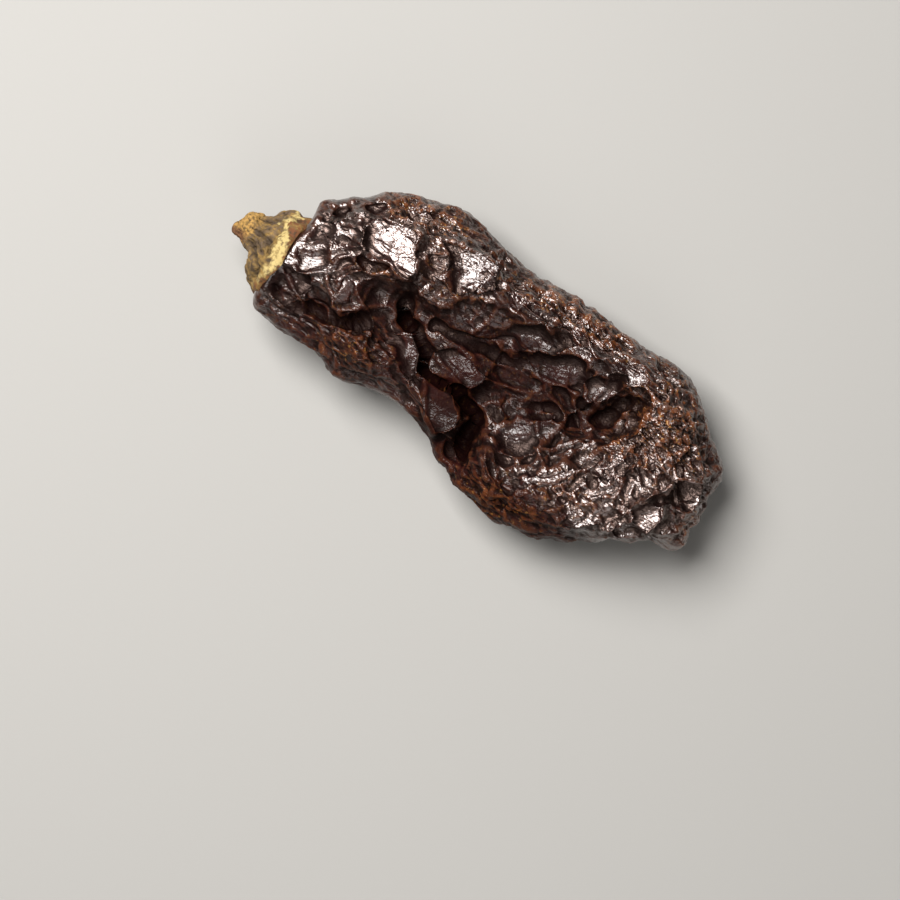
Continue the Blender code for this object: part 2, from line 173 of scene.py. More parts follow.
# Crests rise more slowly above this height, in this share
CREST_LIMIT = (0.18, 0.54)
FACET_WANDER = 0.9
UPPER_STROKES: tuple[Stroke, ...] = (
    # The long fold, from under the shoulder to the near side
    (-0.7, 0.70, ((-13.1, 1.9), (-11.9, 1.6), (-10.7, 0.8))),
    (-1.6, 1.00, ((-10.7, 0.8), (-9.1, 0.2), (-7.7, -0.9), (-6.1, -2.6), (-4.6, -3.9), (-2.5, -4.4))),
    (-1.8, 1.35, ((-0.5, -4.3), (1.7, -4.5), (3.1, -6.6), (3.1, -9.2), (3.2, -10.8))),
    # The crease below the shoulder's bright panel
    (-0.8, 0.80, ((-20.9, 0.2), (-20.2, 2.4), (-18.7, 3.6), (-16.7, 4.4))),
    # The line through the sunken middle, with the pocket at its end
    (-1.1, 1.20, ((19.7, 6.0), (18.1, 4.6), (17.1, 2.4), (16.3, 1.2))),
    (-0.35, 0.55, ((15.7, 0.4), (12.9, -0.6), (9.5, -0.4), (6.7, -1.5), (5.1, -3.4), (3.7, -4.8))),
    (-0.6, 0.80, ((4.5, 2.3), (0.5, 2.4), (-3.5, 1.6), (-7.1, 1.1))),
    # The creases of the near lobe beside the stem
    (-0.7, 0.80, ((-26.5, -5.0), (-23.9, -5.4), (-21.3, -4.9), (-18.3, -4.0), (-14.5, -2.2))),
    (-0.9, 0.80, ((-8.7, -6.0), (-6.9, -7.4), (-5.4, -8.6), (-4.9, -10.2))),
    # The notch that parts the knob at the tip
    (-0.5, 0.80, ((29.5, -8.8), (29.7, -8.0), (30.3, -5.6), (31.7, -4.6), (34.1, -3.8))),
    (-0.8, 0.80, ((27.5, -3.2), (29.5, -2.0), (31.7, -0.4))),
    # The crest along the far side
    (1.8, 3.60, ((-21.5, 6.8), (-13.5, 8.8), (-5.5, 9.4), (2.5, 9.6), (10.5, 9.6), (18.5, 9.2), (23.5, 7.0))),
    # The sharp edges of the shoulder's panels
    (0.9, 1.05, ((-20.7, 7.6), (-19.7, 5.9), (-15.9, 5.4), (-12.7, 4.6))),
    (0.8, 1.05, ((-10.5, 5.2), (-7.5, 6.6), (-5.5, 7.4), (-3.3, 8.8), (-2.7, 11.0))),
    (1.0, 1.05, ((-19.7, 2.2), (-17.5, 3.1), (-14.9, 4.2), (-11.9, 3.9), (-9.5, 3.8), (-6.9, 5.0))),
    # The ridges round the sunken middle
    (1.2, 1.10, ((16.7, 6.6), (18.9, 7.2), (20.9, 5.6), (21.0, 2.8), (19.9, 0.6), (19.7, -2.2))),
    (1.5, 1.90, ((5.9, -10.0), (8.9, -12.4), (13.5, -12.8), (19.1, -11.8), (24.1, -9.4), (27.1, -5.6))),
    (1.0, 1.05, ((31.1, 1.0), (28.9, -0.4), (26.7, -2.4), (26.3, -5.0))),
    (0.9, 1.05, ((24.9, -0.2), (22.5, -2.6), (19.7, -5.4))),
    (0.8, 1.05, ((16.7, -5.4), (14.7, -7.8), (12.9, -10.6))),
)
LOWER_STROKES: tuple[Stroke, ...] = (
    (1.7, 1.50, ((-24.5, 1.0), (-18.5, 4.0), (-11.5, 6.8), (-4.5, 7.8), (3.5, 7.4), (10.5, 8.2))),
    (1.3, 1.30, ((-21.5, -4.0), (-15.5, -5.2), (-9.5, -6.4), (-3.5, -8.0), (2.5, -9.6))),
    (1.4, 1.40, ((14.5, -9.0), (19.5, -7.6), (24.5, -4.6), (29.5, -2.8))),
    (1.2, 1.30, ((15.5, 6.8), (20.5, 5.6), (25.5, 4.4), (29.5, 1.6))),
)

# Thin ridges where the skin is pinched, drawn as the strokes are.
SEAM = 0.30
SEAMS: tuple[Stroke, ...] = (
    # Round the shoulder's bright panel and beside it
    (0.50, SEAM, ((-21.5, 9.0), (-20.8, 8.4), (-20.3, 7.4), (-20.0, 6.2),
                  (-18.0, 5.6), (-14.5, 4.7), (-13.1, 4.3))),
    (0.40, SEAM, ((-21.3, 9.4), (-19.5, 10.0), (-17.5, 10.3), (-15.5, 10.7), (-14.1, 10.4))),
    (0.45, SEAM, ((-14.1, 10.4), (-13.5, 9.0), (-12.7, 7.8), (-12.1, 6.6), (-11.7, 5.8))),
    (0.45, SEAM, ((-23.5, 8.2), (-23.1, 9.0), (-22.3, 9.0), (-21.9, 8.3), (-22.4, 7.6), (-23.5, 8.2))),
    (0.40, SEAM, ((-23.3, 7.4), (-22.0, 7.3), (-21.1, 6.7), (-20.4, 5.8))),
    (0.35, SEAM, ((-19.6, 5.5), (-19.1, 4.9), (-18.6, 4.3))),
    (0.45, SEAM, ((-26.9, 5.4), (-26.1, 3.6), (-25.9, 3.0))),
    (0.40, SEAM, ((-26.7, 5.4), (-24.9, 5.4), (-22.7, 4.4))),
    (0.45, SEAM, ((-27.4, 1.2), (-26.8, 0.3), (-26.1, 0.0))),
    (0.40, SEAM, ((-27.1, -2.0), (-26.3, -2.5), (-25.5, -2.8), (-24.0, -3.6))),
    (0.60, 0.42, ((-25.0, -1.4), (-23.8, -0.6), (-22.7, 0.4), (-21.9, 1.4),
                  (-21.5, 2.6), (-20.9, 3.6), (-20.4, 4.2))),
    (0.35, SEAM, ((-20.7, 0.2), (-20.4, 1.4), (-20.4, 2.6), (-20.8, 3.8))),
    (0.45, SEAM, ((-19.7, 3.3), (-18.5, 3.8), (-17.5, 4.2), (-16.2, 4.8))),
    (0.55, 0.36, ((-19.4, 1.8), (-18.4, 2.5), (-17.1, 2.8), (-15.5, 3.5), (-13.9, 4.0), (-12.5, 4.2))),
    (0.35, SEAM, ((-15.9, 13.6), (-14.7, 13.4), (-13.5, 13.6))),
    (0.35, SEAM, ((-15.9, 13.0), (-14.5, 12.7), (-13.3, 13.0))),
    (0.35, SEAM, ((-15.7, 12.3), (-14.3, 12.0), (-13.1, 12.2))),
    # The small ring and the second panel
    (0.50, SEAM, ((-11.5, 4.6), (-11.1, 5.4), (-10.5, 5.8), (-9.9, 5.4),
                  (-10.0, 4.6), (-10.6, 3.8), (-11.5, 4.6))),
    (0.40, SEAM, ((-9.1, 10.2), (-8.5, 9.2), (-7.9, 8.0), (-7.7, 6.8))),
    (0.55, 0.34, ((-6.5, 7.0), (-5.5, 7.2), (-4.3, 7.4), (-3.4, 8.4), (-2.8, 9.2))),
    (0.35, SEAM, ((-6.1, 7.7), (-4.9, 9.0), (-4.3, 10.6), (-3.9, 11.7))),
    (0.35, SEAM, ((-3.3, 10.4), (-3.2, 12.0))),
    (0.35, SEAM, ((-2.7, 10.6), (-2.8, 12.2))),
    (0.40, SEAM, ((-0.1, 11.4), (0.9, 10.9), (1.9, 11.2), (2.1, 11.8))),
    # The sunken middle
    (0.55, SEAM, ((-1.4, 7.2), (-1.5, 6.0), (-1.9, 4.8), (-2.4, 3.8), (-2.9, 3.0))),
    (0.50, 0.38, ((0.5, 5.2), (1.3, 6.2), (2.4, 7.2), (5.0, 7.4), (7.3, 7.2), (8.4, 6.6))),
    (0.55, 0.36, ((11.7, 6.4), (12.3, 5.6), (12.5, 4.4), (12.1, 3.0), (12.4, 1.8))),
    (0.50, SEAM, ((13.1, 6.2), (12.9, 4.4), (13.0, 2.8))),
    (0.50, SEAM, ((16.1, 6.0), (15.6, 4.8), (15.4, 3.6), (15.5, 2.6))),
    (0.40, SEAM, ((15.0, 6.0), (14.6, 5.0), (14.5, 3.4))),
    (0.50, 0.34, ((5.0, 2.3), (6.6, 2.2), (8.5, 2.5), (10.5, 2.8), (12.9, 2.7), (15.1, 2.5))),
    (0.45, 0.34, ((-4.8, -1.9), (-2.7, -3.0), (-0.3, -3.5), (1.1, -2.6), (2.2, -1.8))),
    (0.45, SEAM, ((4.9, -2.0), (3.7, -3.2), (2.9, -4.2))),
    (0.45, SEAM, ((0.7, -5.4), (1.5, -6.6), (2.1, -8.0), (2.0, -9.0), (1.6, -9.8))),
    (0.50, 0.34, ((-5.1, -4.8), (-4.3, -6.6), (-3.3, -8.0), (-2.3, -9.6), (-1.5, -10.4))),
    (0.40, SEAM, ((-1.6, -10.6), (-0.3, -9.8), (1.1, -8.9))),
    (0.40, SEAM, ((6.0, -6.6), (6.3, -4.6), (7.6, -2.8), (9.4, -2.2), (10.6, -3.4), (11.5, -5.0))),
    (0.45, SEAM, ((10.7, -7.2), (11.3, -8.6), (11.9, -10.0))),
    (0.40, SEAM, ((15.3, -5.0), (14.1, -6.2), (12.9, -7.6), (12.3, -9.6))),
    (0.40, SEAM, ((15.9, -5.4), (14.9, -7.4), (13.4, -9.0), (12.7, -9.8))),
    (0.40, SEAM, ((13.1, -3.2), (14.5, -2.2), (16.1, -1.4), (17.5, -0.8))),
    (0.35, SEAM, ((14.5, -4.6), (15.7, -3.6), (16.5, -3.0))),
    (0.45, SEAM, ((17.5, 0.0), (17.4, 1.0), (17.9, 2.4), (18.3, 3.8))),
    (0.50, SEAM, ((16.7, 3.8), (17.5, 5.0), (17.9, 6.0), (19.1, 6.4), (20.5, 5.6))),
    # The bright curve and the tight wrinkles below it
    (0.60, SEAM, ((21.5, 2.4), (20.7, 1.7), (19.9, 0.8), (19.6, -0.4), (19.6, -1.4), (19.9, -2.2))),
    (0.50, SEAM, ((21.9, 0.0), (21.3, -1.0), (20.7, -2.0), (20.1, -3.0), (19.7, -4.2))),
    (0.55, SEAM, ((22.4, 0.2), (21.7, -1.4), (21.1, -2.6), (20.4, -3.8), (19.7, -5.2))),
    (0.45, SEAM, ((23.2, 0.0), (22.6, -1.6), (21.8, -2.8), (20.8, -4.4))),
    (0.50, 0.34, ((22.9, -3.6), (21.9, -4.1), (20.9, -5.2), (19.9, -6.2),
                  (19.3, -7.2), (20.1, -7.4), (22.0, -6.4))),
    (0.45, SEAM, ((23.5, -1.4), (24.1, -2.2), (24.9, -3.2), (25.5, -4.4))),
    (0.40, SEAM, ((24.5, -0.6), (25.5, -1.4), (26.5, -2.0))),
    (0.40, SEAM, ((24.0, -3.2), (24.2, -4.6), (25.0, -6.4))),
    # The knob at the tip
    (0.70, 0.36, ((26.7, -2.5), (27.5, -1.8), (28.5, -0.8), (29.5, 0.0), (30.5, 0.7))),
    (0.50, SEAM, ((26.7, -2.5), (28.5, -2.4), (30.1, -2.4), (30.9, -3.0), (31.5, -4.0))),
    (0.50, SEAM, ((26.6, -2.6), (26.4, -3.8), (26.4, -5.2), (25.7, -6.4))),
    (0.45, SEAM, ((25.1, -6.8), (25.7, -7.6), (26.5, -8.4))),
    (0.45, SEAM, ((23.9, -8.6), (23.8, -9.6), (24.5, -10.4), (24.8, -9.4), (23.9, -8.6))),
    (0.45, SEAM, ((28.9, -6.6), (29.3, -5.4), (28.9, -4.2), (28.4, -3.4))),
    (0.40, SEAM, ((31.9, 2.4), (32.5, 2.6), (33.1, 2.1))),
    (0.40, SEAM, ((29.9, 2.4), (31.1, 2.9), (31.9, 3.1))),
    (0.35, SEAM, ((29.3, 3.6), (30.7, 4.2))),
    # The far rim
    (0.50, SEAM, ((23.1, 5.5), (24.5, 5.1), (26.1, 5.2), (27.5, 5.6))),
    (0.45, SEAM, ((20.7, 10.0), (21.5, 9.2), (22.1, 8.4), (22.3, 7.6))),
    (0.45, SEAM, ((12.3, 8.2), (13.1, 8.6), (13.8, 9.0))),
    (0.40, 0.22, ((14.5, 10.9), (17.0, 10.6), (21.0, 10.2), (25.0, 8.4),
                  (28.5, 5.8), (31.0, 2.6), (32.2, -0.6))),
    (0.40, 0.22, ((16.5, 9.4), (19.0, 9.1), (22.0, 8.6), (25.5, 6.8), (28.2, 4.2), (30.0, 1.4))),
    (0.40, 0.22, ((19.5, 7.9), (23.5, 6.6), (26.0, 4.6), (27.6, 2.0), (28.2, -0.4), (27.7, -1.8))),
    (0.40, 0.22, ((13.0, 11.6), (9.0, 11.3), (4.0, 11.6), (-1.0, 11.5), (-5.5, 12.3))),
    (0.45, 0.24, ((10.6, -10.0), (14.0, -6.2), (17.4, -2.4), (20.6, 1.4))),
    (0.45, 0.24, ((12.2, -11.0), (15.4, -7.4), (18.2, -4.2), (20.4, -1.2))),
    (0.45, 0.24, ((9.6, -9.0), (12.8, -5.4), (16.4, -1.8), (19.4, 1.4))),
    (0.35, SEAM, ((18.0, 12.0), (20.0, 11.9), (21.9, 11.4), (23.5, 10.5), (25.3, 8.8))),
    (0.35, SEAM, ((5.5, 12.0), (6.3, 12.3), (7.5, 12.1), (9.0, 12.4))),
    # Wrinkles that run along the near rim
    (0.45, 0.34, ((12.5, -11.0), (14.5, -10.6), (16.1, -9.6), (17.5, -8.4), (18.3, -7.2))),
    (0.45, 0.34, ((14.5, -12.2), (16.5, -11.4), (18.5, -9.6))),
    (0.45, 0.34, ((18.1, -12.6), (19.5, -12.4), (20.9, -11.8), (22.5, -11.6))),
    (0.40, 0.34, ((4.5, -9.0), (5.7, -10.0), (6.9, -11.4), (7.9, -12.6))),
    (0.40, 0.34, ((4.1, -10.2), (5.3, -11.4), (6.3, -13.0))),
    (0.40, 0.34, ((5.6, -8.6), (7.1, -10.4), (8.3, -11.8), (9.4, -13.2))),
    (0.40, 0.34, ((7.0, -8.4), (8.4, -9.8), (9.6, -11.6))),
)

# The net of ridges over the whole skin: size of its panels, ridge half-width as a share of that size,
# ridge height, depth of the panels between, how far single panels tilt, and where the pattern starts.
NETS = (
    (6.4, 0.18, 0.60, 0.75, 0.50, 11.0),
    (3.0, 0.22, 0.26, 0.26, 0.60, 47.0),
)
# Where the drawn lines and the net stray to: the same each time
STRAY_SEED = 3
NET_WARP = 1.4
NET_WARP_SIZE = 5.0
NET_STRETCH = 0.72
NET_STARTS = (1.0, 0.37, 0.61)
# How much of a ridge is a thin crest on it, how thin that is, and how close to a ridge a panel is flat
NET_CREST = 0.90
NET_CREST_WIDTH = 0.24
NET_FLOOR = 0.70
NET_TILT_EDGE = 0.28
NET_TILT_APART = 7.31
NET_CALM_IN_FOLDS = 0.50
NET_CALM_ON_PLEATS = 0.45
# Pleats on flat panels and in folds are lower by this share
PLEAT_CALM = 0.9

# Smoother parts of the skin: centre x, y, half-lengths, turn in degrees, how much smoother.
PANEL_EDGE = (0.6, 1.2)
PANEL_CALM = 0.92
PANELS = (
    (4.5, 1.0, 12.5, 6.0, 2.0, 0.30),
    (14.8, 7.4, 3.4, 1.0, 6.0, 0.90),
    (-8.1, -3.2, 1.6, 2.4, 30.0, 0.80),
    (-19.9, -6.5, 2.6, 1.3, 8.0, 0.80),
    (22.9, -11.8, 2.8, 1.3, 28.0, 0.90),
    (-17.0, 4.6, 10.0, 6.0, 10.0, 0.30),
)

# Flat panels where the skin is drawn tight: rise along +X, along +Y, and their corners seen from above.
FACET_EDGE = (-0.80, 0.20)
FACET_TAUT_EDGE = (-0.35, 0.35)
# A panel rises a little towards its middle, from this far inside its edge
FACET_ROOF = 0.07
FACET_ROOF_START = 0.8
FACETS: tuple[Stroke, ...] = (
    # The shoulder's bright panels
    (0.24, -0.075, ((-21.5, 9.3), (-19.4, 10.6), (-14.3, 10.0), (-12.4, 7.6),
                    (-11.7, 5.4), (-12.8, 4.2), (-19.8, 6.0))),
    (0.23, -0.06, ((-10.4, 11.4), (-6.7, 12.4), (-3.2, 12.0), (-3.2, 9.6), (-7.3, 6.4))),
    (0.24, -0.08, ((-27.0, 5.4), (-24.8, 5.2), (-24.6, 3.7), (-25.9, 2.9))),
    (0.22, -0.08, ((-23.3, 2.4), (-22.3, 3.3), (-20.7, 4.0), (-21.2, 2.9), (-22.4, 1.5))),
    (0.24, -0.08, ((-23.3, 8.0), (-23.0, 8.8), (-22.1, 9.2), (-21.9, 8.1), (-22.8, 7.4))),
    (0.20, -0.06, ((-24.2, 4.4), (-22.8, 5.0), (-21.9, 4.6), (-23.2, 3.4))),
    (0.20, -0.07, ((-25.6, 8.6), (-24.2, 9.6), (-23.6, 8.6), (-24.9, 7.4))),
    (0.18, -0.06, ((-22.6, 10.6), (-21.0, 11.8), (-20.0, 11.2), (-21.4, 9.9))),
    (0.22, -0.07, ((-25.4, 6.4), (-23.2, 7.0), (-21.4, 6.4), (-22.2, 4.6), (-24.0, 4.9))),
    (0.20, -0.06, ((-11.8, 8.9), (-10.8, 10.2), (-9.9, 9.8), (-8.6, 7.0), (-9.6, 6.3), (-10.9, 6.8))),
    (0.15, -0.04, ((-27.5, 0.8), (-23.9, 2.2), (-22.4, 1.4), (-25.3, -0.9))),
    (0.16, -0.04, ((-25.9, -2.0), (-24.1, 0.2), (-21.0, 2.4), (-20.7, 1.2))),
    (0.17, -0.06, ((-17.4, 12.3), (-16.4, 13.8), (-14.7, 14.1), (-14.8, 12.6))),
    # The sunken middle
    (0.05, 0.06, ((-5.4, -2.1), (-1.4, 0.7), (2.0, -0.9), (0.4, -3.5), (-2.1, -3.6))),
    (0.03, 0.12, ((-0.4, 3.5), (1.2, 5.9), (4.8, 7.5), (7.2, 7.2), (6.7, 5.5), (2.5, 3.7))),
    (0.02, 0.10, ((5.1, 3.2), (8.8, 5.8), (12.3, 5.5), (11.2, 3.2), (7.4, 1.7))),
    (0.10, 0.04, ((12.4, 3.2), (14.1, 5.6), (16.1, 6.5), (15.8, 3.8), (13.6, 1.6))),
    (0.04, 0.05, ((6.1, -6.1), (6.9, -3.9), (11.1, -1.3), (12.0, -2.2), (10.2, -5.6), (7.5, -6.6))),
    (0.10, 0.08, ((-10.5, -1.1), (-9.1, -0.3), (-6.3, -3.4), (-6.9, -6.0))),
    (0.06, 0.06, ((-5.8, -5.4), (-3.9, -4.6), (0.8, -5.9), (2.0, -8.4), (-0.9, -9.9), (-3.6, -8.4))),
    # The near side of the lower end
    (0.12, 0.00, ((11.3, -9.9), (16.1, -5.1), (17.2, -5.5), (12.3, -11.2))),
    (0.20, -0.05, ((23.4, -4.3), (23.9, -1.4), (25.3, -1.1), (25.3, -4.4), (24.3, -5.2))),
    (0.14, -0.03, ((18.6, -4.3), (20.4, -1.0), (21.6, 0.6), (20.6, -2.6), (19.4, -5.4))),
    (0.18, -0.04, ((17.7, -7.2), (18.7, -4.8), (19.4, -5.6), (18.4, -8.1))),
    (0.20, -0.06, ((19.3, -7.3), (20.3, -5.4), (22.7, -3.4), (23.0, -4.3), (22.2, -6.1), (20.4, -7.7))),
    (0.14, -0.04, ((25.9, -6.4), (27.3, -4.7), (29.0, -3.6), (29.5, -5.9), (28.5, -8.3), (26.8, -7.4))),
    (0.24, -0.08, ((19.6, -11.5), (20.4, -9.0), (21.5, -8.9), (21.9, -10.1), (21.1, -11.9))),
    (0.12, 0.00, ((23.9, -10.1), (24.1, -8.6), (25.0, -7.1), (25.9, -8.5), (25.5, -9.9))),
    (0.10, 0.02, ((21.2, -9.0), (21.6, -7.5), (22.8, -6.4), (23.1, -7.6), (21.9, -9.1))),
    (0.16, -0.05, ((30.6, -1.0), (31.2, -0.1), (32.2, -0.3), (32.4, -1.6), (31.3, -2.4))),
    # The near lobe beside the calyx
    (-0.04, 0.20, ((-29.0, -4.3), (-27.1, -1.9), (-24.2, -2.0), (-24.8, -4.2), (-28.0, -6.2))),
    (-0.04, 0.18, ((-20.6, -1.8), (-19.7, 0.7), (-17.1, 1.9), (-17.4, -0.8), (-19.5, -2.8))),
)

# Narrow creases at the bottom of the folds, drawn as the strokes are.
CREASES: tuple[Stroke, ...] = (
    (-0.8, 0.40, ((-11.9, 1.6), (-10.7, 0.9), (-9.1, 0.2), (-7.7, -0.9),
                  (-6.1, -2.6), (-4.6, -3.9), (-0.5, -4.4),
                  (1.9, -4.7), (3.0, -6.6), (3.1, -9.2), (3.2, -10.8))),
    (-0.9, 0.45, ((-20.6, 2.6), (-19.3, 3.4), (-17.5, 3.8), (-15.9, 4.4))),
    (-0.6, 0.40, ((19.3, 5.6), (18.1, 4.6), (17.1, 2.6), (16.0, 1.0))),
    (-0.7, 0.45, ((4.5, 4.8), (2.0, 4.6), (-0.5, 3.2), (-3.5, 2.0), (-7.1, 1.1))),
    (-0.7, 0.50, ((-26.5, -4.7), (-23.9, -5.2), (-21.3, -4.9), (-18.3, -4.2), (-14.5, -2.4))),
    (-0.4, 0.55, ((29.5, -8.8), (29.7, -8.0), (30.3, -5.8), (31.9, -4.9), (34.1, -4.2))),
)

# The fold's height that counts as a full one, and how its share of that eases in
FOLD_FULL = 1.7
FOLD_EASE = 1.7
# How much calmer the skin is where it is taut, and its fine crinkles in a fold too
CRINKLE_CALM = (0.38, 0.4)
RUST_CALM = 0.7
RIDGE_CALM = 0.8
# The height from which a thin ridge is coloured as a full one
SEAM_FULL = 0.4
# Depths of hollows and creases, and shares of a fold, between which painted shade darkens the skin
HOLLOW_DEPTHS = (3.0, 8.0)
CREASE_DEPTHS = (0.3, 1.1)
FOLD_SHARES = (0.25, 1.0)

# The relief that these find also paints shade into grooves and lightens crests in the skin's colour
# How many rounds of evening out tell a crest from a groove, and how much of itself a point keeps in each
RELIEF_STEPS = 7
RELIEF_KEPT = 0.5

# Pleats, where the skin is gathered: along the pod, or out from the pocket near the tip. Each row has a
# centre x, y, half-lengths, turn in degrees and the pleats' height.
POCKET = (20.5, 3.0)
PLEAT_SPACING = 1.15
PLEAT_CREST = 0.15
PLEAT_GROOVE = 0.30
# How slowly a pleat changes along its length, where the pocket's pleats have the full spacing, and the
# height from which a pleat's crest is a full one
PLEAT_STRETCH = 0.15
POCKET_REACH = 8.0
PLEAT_FULL = 0.3
LONG_PLEATS = (
    (-15.5, -5.5, 8.0, 3.6, 4.0, 0.60),
    (-24.5, -4.5, 4.0, 3.0, 10.0, 0.40),
    (4.0, 11.6, 18.0, 3.2, 0.0, 0.55),
    (-17.0, 12.0, 8.0, 3.0, 20.0, 0.45),
    (9.0, -13.2, 9.0, 2.4, 4.0, 0.60),
    (4.0, 2.0, 11.0, 4.0, 8.0, 0.20),
)
POCKET_PLEATS = (
    (18.0, -5.0, 9.0, 7.5, -10.0, 0.85),
    (26.0, 3.5, 7.0, 6.5, -30.0, 0.60),
    (10.0, -6.5, 5.0, 5.0, 0.0, 0.70),
)

# Duller and brighter parts of the skin: centre x, y, half-lengths, turn in degrees, how much duller.
DULL = (
    (-16.0, -5.6, 10.0, 5.2, 4.0, 0.85),
    (5.0, 0.5, 14.0, 7.0, 2.0, 0.88),
    (-2.0, -7.0, 4.5, 4.0, 0.0, 0.80),
    (8.0, -13.0, 18.0, 3.4, -4.0, 0.95),
    (-19.0, 6.5, 9.0, 5.0, 10.0, -0.8),
    (-13.0, 9.5, 4.0, 3.5, 0.0, -0.7),
    (-6.5, 9.0, 3.6, 3.6, 0.0, -0.1),
    (22.0, -5.5, 6.5, 6.0, 0.0, -0.8),
    (30.0, -3.0, 5.0, 6.5, 0.0, -0.8),
)

# Where the skin is finely crinkled: centre x, y, half-lengths, turn in degrees, how crinkled, how rusty.
CRINKLE_BASE = 0.30
RUST_BASE = 0.12
CRINKLED = (
    (24.6, 4.7, 6.0, 6.0, -30.0, 0.7, 1.0),
    (9.0, 12.0, 15.0, 2.4, 0.0, 0.5, 0.65),
    (-15.0, 13.0, 7.0, 2.4, 12.0, 0.4, 0.8),
    (-15.8, -6.1, 5.6, 2.8, 4.0, 0.4, 0.38),
    (11.0, -13.4, 8.0, 2.2, 4.0, 0.5, 0.38),
    (-10.5, 8.2, 1.5, 2.4, 20.0, 0.4, 0.9),
    (20.2, -0.4, 2.4, 1.6, 30.0, 0.3, 0.9),
    (-17.0, 3.4, 5.0, 1.2, 18.0, 0.2, 0.7),
    (-6.5, 6.2, 4.0, 1.2, 25.0, 0.2, 0.7),
    (17.5, -8.0, 6.0, 3.0, 20.0, 0.2, 0.5),
    (-9.5, 11.5, 6.0, 2.0, 5.0, 0.3, 0.45),
    (33.6, -4.6, 2.4, 2.4, 0.0, 0.3, 0.7),
)

# The calyx and stem: distance from the seat, and how far it reaches to the far side, to the near side,
# up and down. The first rows grip the skin.
CALYX_SECTIONS = (
    (-0.90, 5.95, 5.75, 5.90, 5.90),
    (-0.40, 6.00, 5.80, 6.00, 6.00),
    (0.20, 5.75, 5.60, 5.80, 5.80),
    (0.60, 5.50, 5.30, 5.60, 5.60),
    (1.10, 5.35, 4.95, 5.40, 5.40),
    (1.70, 5.15, 4.50, 5.00, 5.00),
    (2.30, 5.00, 3.90, 4.40, 4.60),
    (3.00, 4.45, 2.95, 3.60, 3.80),
    (3.50, 3.45, 2.45, 3.00, 3.10),
    (4.10, 2.90, 2.05, 2.60, 2.60),
    (5.20, 2.50, 1.75, 2.20, 2.10),
    (5.90, 2.15, 1.60, 1.90, 1.80),
    (6.30, 1.65, 1.45, 1.50, 1.40),
    (6.60, 1.00, 1.00, 0.90, 0.90),
    (6.65, 0.30, 0.30, 0.20, 0.20),
)
CALYX_POWER = 2.3
CALYX_RIBS = 11
CALYX_RIB_DEPTH = 0.05
CALYX_RIB_TWIST = 0.35
# How far the rim waves along the stem, and the size and depth of the knobs on the wood
CALYX_WAVE = 0.70
CALYX_KNOB_SIZE = 1.7
CALYX_KNOB_DEPTH = 0.55
# How closely the fibres lie round the wood, and how slowly they change along it
CALYX_GRAIN_RADIUS = 3.4
CALYX_GRAIN_STRETCH = 0.22
# Grooves of the calyx, drawn as the pod's strokes are
CALYX_GROOVES: tuple[Stroke, ...] = (
    (-0.60, 0.28, ((-32.8, 2.4), (-31.6, 2.6), (-30.7, 3.5))),
    (-0.60, 0.30, ((-32.2, 0.7), (-31.1, 0.5), (-30.2, 0.3))),
    (-0.80, 0.34, ((-32.4, -1.0), (-31.7, -1.9), (-30.9, -2.3), (-29.9, -3.3), (-29.7, -4.6))),
    (-0.50, 0.25, ((-30.5, 0.1), (-29.8, -0.4), (-29.5, -1.1))),
    (-0.50, 0.25, ((-31.9, -0.4), (-31.0, -1.2), (-30.3, -1.6))),
)


def linear(hex_colour: str) -> tuple[float, float, float, float]:
    """Turns an sRGB hex colour into linear light.

    Args:
        hex_colour: six hex digits, such as "8a4a1c".

    Returns:
        Linear red, green, blue and an alpha of 1.
    """
    values = [int(hex_colour[k : k + 2], 16) / 255.0 for k in (0, 2, 4)]
    red, green, blue = (v / 12.92 if v <= 0.04045 else ((v + 0.055) / 1.055) ** 2.4 for v in values)
    return red, green, blue, 1.0


def smooth_step(value: Array, low: float, high: float) -> Array:
    """A share that eases from 0 at low to 1 at high."""
    share = np.clip((value - low) / (high - low), 0.0, 1.0)
    return share * share * (3.0 - 2.0 * share)


def add_node(tree: NodeTree, kind: str, settings: dict[str, Any] | None = None, **inputs: Any) -> Any:
    """Adds one node to a tree, with its settings, values and links.

    Args:
        tree: the node tree.
        kind: the node's type, such as "ShaderNodeTexNoise".
        settings: attributes of the node itself.
        **inputs: a value or an output socket for each input. Spaces in a name are written as _, and i0,
            i1 and so on stand for inputs by number.

    Returns:
        The new node.
    """
    node = tree.nodes.new(kind)
    for name, value in (settings or {}).items():
        setattr(node, name, value)
    for name, value in inputs.items():
        numbered = name[0] == "i" and name[1:].isdigit()
        socket = node.inputs[int(name[1:])] if numbered else node.inputs[name.replace("_", " ")]
        if isinstance(value, bpy.types.NodeSocket):
            tree.links.new(value, socket)
        else:
            socket.default_value = value
    return node


def maths(tree: NodeTree, operation: str, *values: Any, clamp: bool = False) -> Any:
    """Adds a math node to a tree.

    Args:
        tree: the node tree.
        operation: what the node does, such as "MULTIPLY".
        *values: a number or an output socket for each of its inputs, in order.
        clamp: whether the result is kept between 0 and 1.

    Returns:
        The socket of its result.
    """
    inputs = {f"i{index}": value for index, value in enumerate(values)}
    settings = {"operation": operation, "use_clamp": clamp}
    return add_node(tree, "ShaderNodeMath", settings, **inputs).outputs[0]


def vector_maths(tree: NodeTree, operation: str, *values: Any) -> Any:
    """The result of a new vector math node. Its inputs are given in order."""
    inputs = {f"i{index}": value for index, value in enumerate(values)}
    return add_node(tree, "ShaderNodeVectorMath", {"operation": operation}, **inputs).outputs[0]


def scaled(tree: NodeTree, vector: Any, scale: Any) -> Any:
    """The vector times a number, as the result of a new node."""
    return add_node(tree, "ShaderNodeVectorMath", {"operation": "SCALE"}, i0=vector, Scale=scale).outputs[0]


